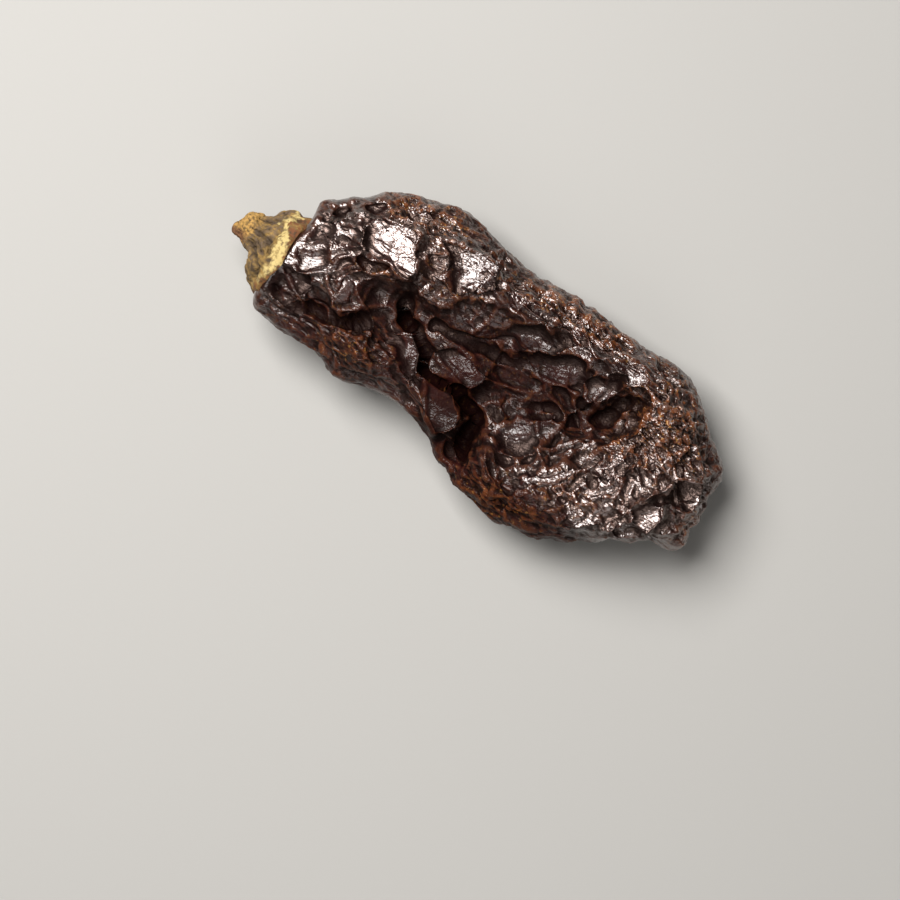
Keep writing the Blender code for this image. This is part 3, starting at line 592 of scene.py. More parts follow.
def ranged(tree: NodeTree, value: Any, *limits: Any) -> Any:
    """The value mapped from the first two limits to the last two, or to 0 and 1, and kept between them."""
    inputs = {f"i{index}": limit for index, limit in enumerate(limits, 1)}
    return add_node(tree, "ShaderNodeMapRange", Value=value, **inputs).outputs[0]


def noise_share(tree: NodeTree, place: Any, scale: Any, detail: float) -> Any:
    """The share that a new noise texture has at a place."""
    return add_node(tree, "ShaderNodeTexNoise", Vector=place, Scale=scale, Detail=detail).outputs["Fac"]


def cell_edges(tree: NodeTree, place: Any, scale: Any) -> Any:
    """The distance of a place to the edges of cells, as the result of a new node."""
    settings = {"feature": "DISTANCE_TO_EDGE"}
    return add_node(tree, "ShaderNodeTexVoronoi", settings, Vector=place, Scale=scale).outputs["Distance"]


def cell_lean(tree: NodeTree, place: Any, scale: Any) -> Any:
    """Tilts each cell its own way.

    Args:
        tree: the node tree.
        place: the socket of the place.
        scale: how many cells there are in a unit of length.

    Returns:
        The socket of the height that the tilt gives at the place.
    """
    cell = add_node(tree, "ShaderNodeTexVoronoi", {"feature": "F1"}, Vector=place, Scale=scale).outputs
    slope = vector_maths(tree, "SUBTRACT", cell["Color"], MIDDLE_OF_NOISE)
    apart = vector_maths(tree, "SUBTRACT", place, cell["Position"])
    settings = {"operation": "DOT_PRODUCT"}
    return add_node(tree, "ShaderNodeVectorMath", settings, i0=slope, i1=apart).outputs["Value"]


def attribute_share(tree: NodeTree, name: str) -> Any:
    """The number that the mesh stores under this name, for a material."""
    return add_node(tree, "ShaderNodeAttribute", {"attribute_name": name}).outputs["Fac"]


def layered(tree: NodeTree, base: str, layers: tuple[tuple[Any, str], ...]) -> Any:
    """Lays colours over each other.

    Args:
        tree: the material's node tree.
        base: the lowest colour, as six hex digits.
        layers: the share and the colour of each layer, from the lowest to the highest.

    Returns:
        The socket of the colour that is seen.
    """
    colour = linear(base)
    for share, tint in layers:
        inputs = {"i0": share, "i6": colour, "i7": linear(tint)}
        colour = add_node(tree, "ShaderNodeMix", {"data_type": "RGBA"}, **inputs).outputs[2]
    return colour


def new_material(name: str) -> tuple[bpy.types.Material, NodeTree, Any]:
    """Starts a material.

    Args:
        name: its name.

    Returns:
        The material, its empty node tree, and the socket of the place in metres.
    """
    material = bpy.data.materials.new(name)
    material.use_nodes = True
    tree = material.node_tree
    tree.nodes.clear()
    return material, tree, add_node(tree, "ShaderNodeTexCoord").outputs["Object"]


def new_geometry_tree(name: str, numbers: dict[str, Any]) -> tuple[NodeTree, Any]:
    """Starts a tree that changes a mesh and gives it a material.

    Args:
        name: the tree's name.
        numbers: its number inputs, by name.

    Returns:
        The tree, and the sockets of its inputs.
    """
    tree = bpy.data.node_groups.new(name, "GeometryNodeTree")
    tree.interface.new_socket("Geometry", in_out="INPUT", socket_type="NodeSocketGeometry")
    for number in numbers:
        tree.interface.new_socket(number, in_out="INPUT", socket_type="NodeSocketFloat")
    tree.interface.new_socket("Material", in_out="INPUT", socket_type="NodeSocketMaterial")
    tree.interface.new_socket("Geometry", in_out="OUTPUT", socket_type="NodeSocketGeometry")
    return tree, tree.nodes.new("NodeGroupInput").outputs


def finish_geometry_tree(tree: NodeTree, given: Any, geometry: Any, height: Any, share: str) -> None:
    """Raises the mesh along its normals and gives it its material.

    Args:
        tree: the node tree.
        given: the sockets of the tree's inputs.
        geometry: the socket of the mesh.
        height: the socket of the height, in millimetres.
        share: the stored number that the height is multiplied by.
    """
    settings = {"data_type": "FLOAT"}
    amount = add_node(tree, "GeometryNodeInputNamedAttribute", settings, Name=share).outputs[0]
    height = maths(tree, "MULTIPLY", height, amount)
    height = maths(tree, "MULTIPLY", height, MM)
    offset = scaled(tree, add_node(tree, "GeometryNodeInputNormal").outputs[0], height)
    geometry = add_node(tree, "GeometryNodeSetPosition", Geometry=geometry, Offset=offset).outputs[0]
    geometry = add_node(tree, "GeometryNodeRealizeInstances", Geometry=geometry).outputs[0]
    inputs = {"Geometry": geometry, "Material": given["Material"]}
    geometry = add_node(tree, "GeometryNodeSetMaterial", **inputs).outputs[0]
    add_node(tree, "NodeGroupOutput", Geometry=geometry)


def mesh_points(mesh: bpy.types.Mesh) -> Array:
    """The mesh's vertices, as rows of x, y, z."""
    values = np.empty(len(mesh.vertices) * 3, np.float32)
    mesh.vertices.foreach_get("co", values)
    return values.reshape(-1, 3).astype(float)


def mesh_normals(mesh: bpy.types.Mesh) -> Array:
    """The mesh's vertex normals, as rows of x, y, z."""
    values = np.empty(len(mesh.vertices) * 3, np.float32)
    mesh.vertices.foreach_get("normal", values)
    return values.reshape(-1, 3).astype(float)


def move_points(mesh: bpy.types.Mesh, points: Array) -> None:
    """Moves the mesh's vertices to these points, in metres."""
    mesh.vertices.foreach_set("co", points.astype(np.float32).ravel())
    mesh.update()


def store(mesh: bpy.types.Mesh, name: str, values: Array) -> None:
    """Stores one number for each vertex, for the materials and the node trees to read."""
    layer = mesh.attributes.new(name, "FLOAT", "POINT")
    layer.data.foreach_set("value", values.astype(np.float32))


def ringed_mesh(name: str, points: Array, rings: int, sides: int) -> bpy.types.Mesh:
    """A closed mesh of a pole, rings and a pole.

    Args:
        name: the mesh's name.
        points: the first pole, the rings in order, and the last pole, in metres.
        rings: number of rings.
        sides: number of points in a ring.

    Returns:
        The mesh, with its faces pointing out.
    """
    last = 1 + rings * sides
    faces: list[tuple[int, ...]] = []
    for side in range(sides):
        beside = (side + 1) % sides
        faces.append((0, 1 + beside, 1 + side))
        faces.append((last, last - sides + side, last - sides + beside))
    for ring in range(rings - 1):
        start = 1 + ring * sides
        for side in range(sides):
            beside = (side + 1) % sides
            faces.append((start + side, start + beside, start + sides + beside, start + sides + side))
    mesh = bpy.data.meshes.new(name)
    mesh.from_pydata(points.tolist(), [], faces)
    mesh.update()
    middle = points.mean(axis=0)
    if np.mean(np.sum(mesh_normals(mesh) * (points - middle), axis=1)) < 0.0:
        mesh.flip_normals()
    mesh.shade_smooth()
    return mesh


def finished_piece(name: str, mesh: bpy.types.Mesh, tree: NodeTree, values: dict[str, Any]) -> Any:
    """Runs a node tree on a mesh and keeps the result as a plain object.

    Args:
        name: the piece's name.
        mesh: the mesh that the tree starts from.
        tree: the geometry node tree.
        values: the tree's inputs, by name.

    Returns:
        The piece, with a plain mesh and no modifier, at the origin.
    """
    start = bpy.data.objects.new(name + "_start", mesh)
    bpy.context.scene.collection.objects.link(start)
    nodes = start.modifiers.new("nodes", "NODES")
    nodes.node_group = tree
    for item in tree.interface.items_tree:
        if item.in_out == "INPUT" and item.name in values:
            nodes[item.identifier] = values[item.name]
    graph = bpy.context.evaluated_depsgraph_get()
    plain = bpy.data.meshes.new_from_object(start.evaluated_get(graph))
    bpy.data.objects.remove(start, do_unlink=True)
    bpy.data.meshes.remove(mesh)
    plain.name = name
    piece = bpy.data.objects.new(name, plain)
    bpy.context.scene.collection.objects.link(piece)
    return piece


def smooth_rows(rows: Array, fractions: Array) -> Array:
    """Rows on a smooth curve through the given ones.

    Args:
        rows: the rows that the curve passes through. Its length is measured in their first four values.
        fractions: where to take the new rows, as shares of the curve's length.

    Returns:
        One row for each fraction.
    """
    along = np.concatenate([[0.0], np.cumsum(np.linalg.norm(np.diff(rows[:, :4], axis=0), axis=1))])
    slopes = np.gradient(rows, along, axis=0)
    at = fractions * along[-1]
    index = np.clip(np.searchsorted(along, at, side="right") - 1, 0, len(along) - 2)
    span = (along[index + 1] - along[index])[:, None]
    t = ((at - along[index]) / span[:, 0])[:, None]
    return (
        (2 * t**3 - 3 * t**2 + 1) * rows[index]
        + (t**3 - 2 * t**2 + t) * span * slopes[index]
        + (3 * t**2 - 2 * t**3) * rows[index + 1]
        + (t**3 - t**2) * span * slopes[index + 1]
    )


def distance_to_line(places: Array, line: tuple[Point, ...]) -> Array:
    """Distance to a line through points, seen from above.

    Args:
        places: rows of x and y.
        line: the points that the line joins.

    Returns:
        The distance of each place to the nearest part of the line.
    """
    nearest = np.full(len(places), np.inf)
    for start, end in zip(line[:-1], line[1:]):
        a, b = np.array(start), np.array(end)
        t = np.clip((places - a) @ (b - a) / ((b - a) @ (b - a)), 0.0, 1.0)
        nearest = np.minimum(nearest, np.linalg.norm(places - a - t[:, None] * (b - a), axis=1))
    return nearest


def stroke_heights(places: Array, strokes: tuple[Stroke, ...]) -> Array:
    """Height of the strokes at each place, seen from above.

    Args:
        places: rows of x and y.
        strokes: ridges with a round crest, and folds with a sharp bottom, of negative height.

    Returns:
        One height for each place.
    """
    heights = np.zeros(len(places))
    for height, half_width, line in strokes:
        away = distance_to_line(places, line) / half_width
        shape = np.exp(-(away**2))
        if height < 0.0:
            shape = FOLD_ROUND * shape + FOLD_SHARP * np.exp(-FOLD_STEEPNESS * away)
        heights += height * shape
    return heights


def away_from(places: Array, x: float, y: float, half_x: float, half_y: float, turn_deg: float) -> Array:
    """How far each place is from the middle of a turned oval.

    Args:
        places: rows of x and y.
        x: the middle's x.
        y: the middle's y.
        half_x: the oval's half-length before it is turned.
        half_y: its half-width.
        turn_deg: its turn in degrees.

    Returns:
        0 in the middle and 1 on the oval's edge, for each place.
    """
    turn = math.radians(turn_deg)
    right, up = places[:, 0] - x, places[:, 1] - y
    along = right * math.cos(turn) + up * math.sin(turn)
    across = up * math.cos(turn) - right * math.sin(turn)
    return np.hypot(along / half_x, across / half_y)


def inside_corners(places: Array, corners: tuple[Point, ...]) -> Array:
    """How far each place lies inside a convex outline.

    Args:
        places: rows of x and y.
        corners: the outline's corners, in order.

    Returns:
        The distance to the nearest edge for each place, and below 0 outside.
    """
    middle = np.mean(corners, axis=0)
    inside = np.full(len(places), np.inf)
    for start, end in zip(corners, corners[1:] + corners[:1]):
        edge = np.array(end) - np.array(start)
        across = np.array([-edge[1], edge[0]]) / np.linalg.norm(edge)
        across *= np.sign((middle - np.array(start)) @ across)
        inside = np.minimum(inside, (places - np.array(start)) @ across)
    return inside


def stem_direction() -> tuple[float, float, float]:
    """The way the stem points, away from the pod."""
    turn = math.radians(SEAT_TURN_DEG)
    return (-math.cos(turn), math.sin(turn), 0.0)


class Side(Enum):
    """The side of the pod that a set of folds is pressed into, with the sign of its upward direction."""

    UPPER = 1.0
    LOWER = -1.0


@dataclass(frozen=True)
class Octave:
    """One size of fine wrinkles on the skin, in millimetres.

    Attributes:
        cell: size of the panels between the ridges.
        ridge: height of the ridges.
        width: half-width of a ridge, as a share of the cell.
        sag: depth of the panels between the ridges.
        tilt: slope that single panels may have.
        seed: where the pattern starts.
    """

    cell: float
    ridge: float
    width: float
    sag: float
    tilt: float
    seed: float


@dataclass(frozen=True)
class CrinkleTree:
    """The fine wrinkles that follow the skin, as geometry nodes."""

    octaves: tuple[Octave, ...] = (
        Octave(cell=1.9, ridge=0.14, width=0.11, sag=0.10, tilt=0.80, seed=3.0),
        Octave(cell=1.0, ridge=0.08, width=0.18, sag=0.05, tilt=0.45, seed=8.0),
    )
    warp: float = 1.1
    warp_size: float = 3.4
    stretch: tuple[float, float, float] = (0.66, 1.0, 1.0)
    fade_size: float = 2.6
    # Distance from a ridge, as a share of the cell, over which a panel's tilt and its sag set in
    tilt_edge: float = 0.12
    sag_edge: float = 0.5
    sharpness: float = 1.5
    # Where in the noise the ridges fade, and how high they are at either end
    fade: Limits = (0.36, 0.62, 0.25, 1.25)

    def build(self) -> NodeTree:
        """Builds the tree: ridges of warped cells, raised along the skin's normals.

        Returns:
            The tree. Its inputs are the sizes of each octave, the warp and the material.
        """
        tree, given = new_geometry_tree("skin_crinkle", self.values())
        place = scaled(tree, add_node(tree, "GeometryNodeInputPosition").outputs[0], 1.0 / MM)
        rate = maths(tree, "DIVIDE", 1.0, given["Warp size"])
        bend = add_node(tree, "ShaderNodeTexNoise", Vector=place, Scale=rate, Detail=1.0).outputs["Color"]
        bend = vector_maths(tree, "SUBTRACT", bend, MIDDLE_OF_NOISE)
        bend = scaled(tree, bend, given["Warp"])
        place = vector_maths(tree, "ADD", place, bend)
        place = vector_maths(tree, "MULTIPLY", place, self.stretch)

        height, crest = None, None
        for index, octave in enumerate(self.octaves, 1):
            rate = maths(tree, "DIVIDE", 1.0, given[f"Cell size {index}"])
            start = vector_maths(tree, "ADD", place, (octave.seed * 10.0, octave.seed, 0.0))
            edge = cell_edges(tree, start, rate)
            lean = cell_lean(tree, start, rate)
            lean = maths(tree, "MULTIPLY", lean, ranged(tree, edge, 0.0, self.tilt_edge))
            lean = maths(tree, "MULTIPLY", lean, given[f"Tilt {index}"])
            ridge = ranged(tree, edge, 0.0, given[f"Ridge width {index}"], 1.0, 0.0)
            ridge = maths(tree, "POWER", ridge, self.sharpness)
            sag = ranged(tree, edge, 0.0, self.sag_edge, 0.0, given[f"Sag {index}"])
            fade = noise_share(tree, start, 1.0 / (self.fade_size * octave.cell), 1.0)
            ridge = maths(tree, "MULTIPLY", ridge, ranged(tree, fade, *self.fade))
            step = maths(tree, "MULTIPLY", ridge, given[f"Ridge height {index}"])
            step = maths(tree, "SUBTRACT", step, sag)
            step = maths(tree, "ADD", step, lean)
            if height is None:
                height, crest = step, ridge
            else:
                height = maths(tree, "ADD", height, step)
                crest = maths(tree, "MAXIMUM", crest, ridge)

        settings = {"data_type": "FLOAT", "domain": "POINT"}
        inputs = {"Geometry": given["Geometry"], "Name": "fine_ridge", "Value": crest}
        skin = add_node(tree, "GeometryNodeStoreNamedAttribute", settings, **inputs).outputs[0]
        finish_geometry_tree(tree, given, skin, height, "crinkle")
        return tree

    def values(self) -> dict[str, Any]:
        """The tree's number inputs, by name."""
        values = {"Warp": self.warp, "Warp size": self.warp_size}
        for index, octave in enumerate(self.octaves, 1):
            values[f"Cell size {index}"] = octave.cell
            values[f"Ridge height {index}"] = octave.ridge
            values[f"Ridge width {index}"] = octave.width
            values[f"Sag {index}"] = octave.sag
            values[f"Tilt {index}"] = octave.tilt
        return values


@dataclass(frozen=True)
class DriedSkin:
    """The skin of a smoke-dried chilli: thin, tough and glossy, like waxed leather.

    It looks nearly black with a wine-red depth where it is drawn smooth, and rusty with golden flecks
    where fine crinkles let light through. Its gloss is uneven, so highlights break up on the wrinkles.
    """

    deep: str = "140606"
    wine: str = "260b0b"
    # Lighter colour on crests: partly the skin's own thin-ridge colour, partly painted light where the skin
    # stands out
    crest: str = "371911"
    rust: str = "2a1009"
    amber: str = "703c1b"
    gold: str = "b88442"
    # Painted shade: a near-black colour laid into folds, hollows and grooves
    painted_groove_shade: str = "080303"
    sheen: str = "eeccbe"
    gloss: float = 0.28
    dull: float = 0.46
    blotch: float = 5.0
    wine_blotches: Limits = (0.35, 0.65)
    # Relief heights for the crests' lighter colour, partly the skin's own and partly painted light, and for
    # the painted shade of grooves
    crest_heights: Limits = (0.01, 0.06)
    groove_shade_heights: Limits = (0.0, -0.05, 0.0, 0.8)
    coat_heights: Limits = (-0.06, -0.01)
    rust_patches: Limits = (0.38, 0.62, 0.15, 1.2)
    gold_flecks: Limits = (0.60, 0.68)
    dull_specks: tuple[float, float] = (0.3, 0.7)
    # How much of the fold's share paints shade onto the skin, and the share that takes all the shine
    fold_shade_strength: float = 0.85
    fold_full: float = 0.7
    wrinkle_amber: float = 0.6
    bend: float = 0.7
    bend_rate: float = 0.9
    stretch: tuple[float, float, float] = (0.62, 1.0, 1.0)
    # Sizes of the fine wrinkles, and how wide each is as a share of its cell
    wrinkles: tuple[tuple[float, float], ...] = ((0.85, 0.15), (0.40, 0.20))
    small_wrinkle: float = 0.45
    speck: float = 0.9
    fleck: float = 0.42
    fleck_bump: float = 0.4
    chip: float = 0.75
    chip_tilt: float = 6.0
    bump_depth: float = 0.12
    # The bump's strength where the skin is even and where it is crinkled in full
    bump_strength: tuple[float, float] = (0.15, 0.70)
    crinkle_full: float = 0.9
    ior: float = 1.70
    # The shine of open skin and that of a deep fold, and how much of it dull skin loses
    shine: tuple[float, float] = (0.5, 0.02)
    dull_shine: float = 0.9
    coat: float = 0.95
    coat_rough: float = 0.11
    coat_ior: float = 1.75
    matt: float = 0.2

    def build(self) -> bpy.types.Material:
        """Builds the material.

        Returns:
            A material that reads Object coordinates and the skin's own attributes.
        """
        material, tree, place = new_material("dried_chilli_skin")
        place = scaled(tree, place, 1.0 / MM)
        names = ("rust", "fine_ridge", "fold_shade", "ridge", "crinkle", "dull", "relief")
        rusty, fine, fold_shade, ridge, crinkle, dull, relief = (attribute_share(tree, name) for name in names)
        blotch = noise_share(tree, place, 1.0 / self.blotch, 3.0)
        speck = noise_share(tree, place, 1.0 / self.speck, 3.0)
        fleck = noise_share(tree, place, 1.0 / self.fleck, 2.0)

        bend = add_node(tree, "ShaderNodeTexNoise", Vector=place, Scale=self.bend_rate, Detail=2.0)
        bend = bend.outputs["Color"]
        bent = vector_maths(tree, "MULTIPLY_ADD", bend, (self.bend,) * 3, place)
        bent = vector_maths(tree, "MULTIPLY", bent, self.stretch)
        lines = []
        for size, reach in self.wrinkles:
            lines.append(ranged(tree, cell_edges(tree, bent, 1.0 / size), 0.0, reach, 1.0, 0.0))
        wrinkle = maths(tree, "MULTIPLY_ADD", lines[1], self.small_wrinkle, lines[0])

        depth = ranged(tree, blotch, *self.wine_blotches)
        # Crests are coloured lighter: partly the skin's own ridge colour, partly painted light
        high = maths(tree, "MAXIMUM", ridge, fine)
        top = ranged(tree, relief, *self.crest_heights)
        low = ranged(tree, relief, *self.groove_shade_heights)
        high = maths(tree, "MULTIPLY", high, top)
        patch = ranged(tree, speck, *self.rust_patches)
        patch = maths(tree, "MULTIPLY", patch, rusty, clamp=True)
        line = maths(tree, "MULTIPLY_ADD", wrinkle, self.wrinkle_amber, top)
        line = maths(tree, "MULTIPLY", line, patch, clamp=True)
        golden = ranged(tree, fleck, *self.gold_flecks)
        golden = maths(tree, "MULTIPLY", golden, patch, clamp=True)
        # Painted shade: folds, hollows and deep grooves are darkened towards the near-black groove colour
        painted_shade = maths(tree, "MULTIPLY", fold_shade, self.fold_shade_strength)
        painted_shade = maths(tree, "MAXIMUM", painted_shade, low)
        layers = (
            (depth, self.wine), (high, self.crest), (patch, self.rust), (line, self.amber),
            (golden, self.gold), (painted_shade, self.painted_groove_shade),
        )
        colour = layered(tree, self.deep, layers)

        rough = ranged(tree, speck, *self.dull_specks, self.gloss, self.dull)
        lean = cell_lean(tree, bent, 1.0 / self.chip)
        bump = maths(tree, "MULTIPLY_ADD", fleck, self.fleck_bump, wrinkle)
        bump = maths(tree, "MULTIPLY_ADD", lean, self.chip_tilt, bump)
        strength = ranged(tree, crinkle, 0.0, self.crinkle_full, *self.bump_strength)
        inputs = {"Strength": strength, "Distance": self.bump_depth * MM, "Height": bump}
        bump = add_node(tree, "ShaderNodeBump", **inputs).outputs[0]
        coat = ranged(tree, fold_shade, 0.0, self.fold_full, self.coat, 0.0)
        glossy = maths(tree, "SUBTRACT", 1.0, dull, clamp=True)
        coat = maths(tree, "MULTIPLY", coat, glossy)
        open_skin = ranged(tree, relief, *self.coat_heights)
        coat = maths(tree, "MULTIPLY", coat, open_skin)
        sheen = ranged(tree, fold_shade, 0.0, self.fold_full, *self.shine)
        even = maths(tree, "MULTIPLY_ADD", dull, -self.dull_shine, 1.0)
        sheen = maths(tree, "MULTIPLY", sheen, even)
        matt = ranged(tree, dull, 0.0, 1.0, 0.0, self.matt)
        rough = maths(tree, "ADD", matt, rough)
        shader = add_node(
            tree, "ShaderNodeBsdfPrincipled", Base_Color=colour, Roughness=rough, Normal=bump, IOR=self.ior,
            Specular_Tint=linear(self.sheen), Specular_IOR_Level=sheen,
            Coat_Weight=coat, Coat_Roughness=self.coat_rough, Coat_IOR=self.coat_ior, Coat_Normal=bump,
        ).outputs[0]
        add_node(tree, "ShaderNodeOutputMaterial", Surface=shader)
        return material


@dataclass(frozen=True)
class DryCalyx:
    """The dead calyx and stem: straw-coloured, fibrous and matt, like weathered reed.

    Long fibres run from the pod to the broken end. A pale band lies behind the rim, whose edge is burnt
    orange. The body is a granular grey-brown between its fibres, and the broken end is golden.
    """

    stain: str = "42311b"
    straw: str = "93733a"
    granule: str = "66523f"
    golden: str = "b48a49"
    russet: str = "502717"
    pale: str = "c2aa6e"
    edge: str = "70401f"
    # Painted shade laid into the calyx's grooves
    painted_groove_shade: str = "2e2010"
    rough: float = 0.80
    stained_shares: Limits = (0.84, 1.16)
    granule_grit: Limits = (0.40, 0.58)
    burnt_grit: Limits = (0.42, 0.56, 1.0, 0.20)
    fibre_rate: float = 2.2
    mottle: float = 1.2
    grit: float = 0.4
    even_pale: float = 0.4
    bump_strength: float = 0.8
    bump_depth: float = 0.22

    def build(self) -> bpy.types.Material:
        """Builds the material.

        Returns:
            A material that reads the calyx's own attributes and Object coordinates.
        """
        material, tree, place = new_material("dry_woody_calyx")
        place = scaled(tree, place, 1.0 / MM)
        grain = add_node(tree, "ShaderNodeAttribute", {"attribute_name": "grain"}).outputs["Vector"]
        names = ("body", "end", "under", "pale", "edge", "painted_groove_shade")
        body, end, under, pale, edge, painted_groove_shade = (attribute_share(tree, name) for name in names)
        fibre = noise_share(tree, grain, self.fibre_rate, 5.0)
        mottle = noise_share(tree, place, 1.0 / self.mottle, 3.0)
        grit = noise_share(tree, place, 1.0 / self.grit, 3.0)
        stained = maths(tree, "ADD", fibre, mottle)
        stained = ranged(tree, stained, *self.stained_shares)
        granular = ranged(tree, grit, *self.granule_grit)
        body, end, rough_pale = (
            maths(tree, "MULTIPLY", share, granular, clamp=True) for share in (body, end, pale)
        )
        pale = maths(tree, "MULTIPLY_ADD", pale, self.even_pale, rough_pale, clamp=True)
        burnt = ranged(tree, grit, *self.burnt_grit)
        edge = maths(tree, "MULTIPLY", edge, burnt)
        layers = (
            (stained, self.straw), (body, self.granule), (end, self.golden), (under, self.russet),
            (pale, self.pale), (edge, self.edge), (painted_groove_shade, self.painted_groove_shade),
        )
        colour = layered(tree, self.stain, layers)
        rise = maths(tree, "ADD", fibre, grit)
        inputs = {"Strength": self.bump_strength, "Distance": self.bump_depth * MM, "Height": rise}
        bump = add_node(tree, "ShaderNodeBump", **inputs).outputs[0]
        inputs = {"Base_Color": colour, "Roughness": self.rough, "Normal": bump}
        shader = add_node(tree, "ShaderNodeBsdfPrincipled", **inputs).outputs[0]
        add_node(tree, "ShaderNodeOutputMaterial", Surface=shader)
        return material


@dataclass(frozen=True)
class PaleBoard:
    """A plain pale painted board, matt and even, that the pepper lies on."""

    colour: str = "a9a6a1"
    rough: float = 0.7
    grain: float = 0.8
    bump_strength: float = 0.1
    bump_depth: float = 0.05

    def build(self) -> bpy.types.Material:
        """Builds the material.

        Returns:
            A material with the faint texture that a paint roller leaves.
        """
        material, tree, place = new_material("pale_painted_board")
        grain = noise_share(tree, place, 1.0 / (self.grain * MM), 2.0)
        inputs = {"Strength": self.bump_strength, "Distance": self.bump_depth * MM, "Height": grain}
        bump = add_node(tree, "ShaderNodeBump", **inputs).outputs[0]
        inputs = {"Base_Color": linear(self.colour), "Roughness": self.rough, "Normal": bump}
        shader = add_node(tree, "ShaderNodeBsdfPrincipled", **inputs).outputs[0]
        add_node(tree, "ShaderNodeOutputMaterial", Surface=shader)
        return material


@dataclass
class Pod:
    """The dried fruit: skin and flesh collapsed into folds and covered with wrinkles."""

    rings: int = 298
    sides: int = 328
    ring_samples: int = 720
    upper_density: float = 2.0

    def sections_between(self, fractions: Array) -> Array:
        """The sections at these fractions of the pod's length, on a smooth curve through SECTIONS."""
        return smooth_rows(np.array(SECTIONS), fractions)

    def section_ring(self, section: Array) -> Array:
        """Points round one section.

        Args:
            section: far x, far y, near x, near y, lowest z and highest z.

        Returns:
            Rows of x, y, z, from the far side over the top, and closer together on the upper side.
        """
        far, near = section[:2], section[2:4]
        low, top = section[4], section[5]
        turn = np.linspace(0.0, 2.0 * math.pi, self.ring_samples + 1)
        power = np.where(np.sin(turn) > 0.0, SECTION_POWER_TOP, SECTION_POWER_LOW)
        across = np.sign(np.cos(turn)) * np.abs(np.cos(turn)) ** (2.0 / power)
        up = np.sign(np.sin(turn)) * np.abs(np.sin(turn)) ** (2.0 / power)
        middle, half = (far + near) / 2.0, (far - near) / 2.0
        heights = (low + top) / 2.0 + (top - low) / 2.0 * up
        points = np.column_stack([middle[0] + half[0] * across, middle[1] + half[1] * across, heights])
        density = 1.0 + self.upper_density * (1.0 + np.sin(turn[1:])) / 2.0
        steps = np.linalg.norm(np.diff(points, axis=0), axis=1) * density
        length = np.concatenate([[0.0], np.cumsum(steps)])
        wanted = np.linspace(0.0, length[-1], self.sides, endpoint=False)
        return np.column_stack([np.interp(wanted, length, points[:, k]) for k in range(3)])

    def smooth_points(self) -> Array:
        """The pod's points before it wrinkled: the pole at the seat, the rings, and the pole at the tip."""
        sections = self.sections_between(np.linspace(0.0, 1.0, self.rings + 2))
        first = [[*SECTIONS[0][:2], SECTIONS[0][4]]]
        last = [[*SECTIONS[-1][:2], SECTIONS[-1][4]]]
        return np.concatenate([first, *(self.section_ring(row) for row in sections[1:-1]), last])

    def fold_heights(self, places: Array, side: Side) -> Array:
        """How far the folds, ridges and swells raise one side.

        Args:
            places: rows of x and y.
            side: the side that they are on.

        Returns:
            One height for each place, below 0 where the skin is sunken.
        """
        if side is Side.LOWER:
            return stroke_heights(places, LOWER_STROKES)
        heights = stroke_heights(places, UPPER_STROKES)
        for *oval, height in SWELLS:
            heights += height * np.exp(-(away_from(places, *oval) ** (2.0 * SWELL_STEEPNESS)))
        return heights

    def flattening(self, points: Array, places: Array) -> Array:
        """Makes the skin's flat panels.

        Args:
            points: rows of x, y, z.
            places: the points as the panels' outlines see them, rows of x and y.

        Returns:
            How far each point rises or falls.
        """
        rise = np.zeros(len(points))
        upper = points[:, 2] > SEAT_CENTRE[2]
        for slope_x, slope_y, corners in FACETS:
            inside = inside_corners(places, corners)
            lift = places[:, 0] * slope_x + places[:, 1] * slope_y
            level = (points[:, 2] - lift)[upper & (inside > FACET_EDGE[1])].mean()
            lift += FACET_ROOF * (np.maximum(inside, 0.0) - FACET_ROOF_START)
            rise += (lift + level - points[:, 2]) * smooth_step(inside, *FACET_EDGE) * upper
        return rise

    def net_heights(self, points: Array) -> tuple[Array, Array]:
        """The coarse nets of ridges.

        Args:
            points: rows of x, y, z.

        Returns:
            The nets' height at each point, and how much of it is a ridge.
        """
        heights = np.zeros(len(points))
        ridges = np.zeros(len(points))
        for size, sharpness, ridge, sag, tilt, start in NETS:
            shift = Vector(NET_STARTS) * start
            for index, (x, y, z) in enumerate(points.tolist()):
                place = Vector((x * NET_STRETCH, y, z))
                warp = noise.noise_vector(place / NET_WARP_SIZE + shift) * NET_WARP
                spot = (place + warp) / size + shift
                reach, cells = noise.voronoi(spot)
                edge = reach[1] - reach[0]
                broad = math.exp(-((edge / sharpness) ** 2))
                thin = math.exp(-edge * size / (2.0 * NET_CREST_WIDTH))
                floor = min(edge / NET_FLOOR, 1.0)
                lean = noise.noise_vector(cells[0] * NET_TILT_APART).dot(spot - cells[0])
                lean *= min(edge / NET_TILT_EDGE, 1.0)
                crest = (1.0 - NET_CREST) * broad + NET_CREST * thin
                heights[index] += ridge * crest - sag * floor + tilt * size * lean
                ridges[index] = max(ridges[index], thin)
        return heights, ridges

    def taut_shares(self, places: Array) -> Array:
        """1 where the skin is drawn quite smooth, 0 where it is not, for each place seen from above."""
        share = np.zeros(len(places))
        for *oval, smoother in PANELS:
            share = np.maximum(share, smoother * (1.0 - smooth_step(away_from(places, *oval), *PANEL_EDGE)))
        return np.maximum(share, self.facet_shares(places))

    def facet_shares(self, places: Array) -> Array:
        """1 on a flat panel, 0 away from all of them, for each place seen from above."""
        inside = [inside_corners(places, corners) for _, _, corners in FACETS]
        return smooth_step(np.max(inside, axis=0), *FACET_TAUT_EDGE)

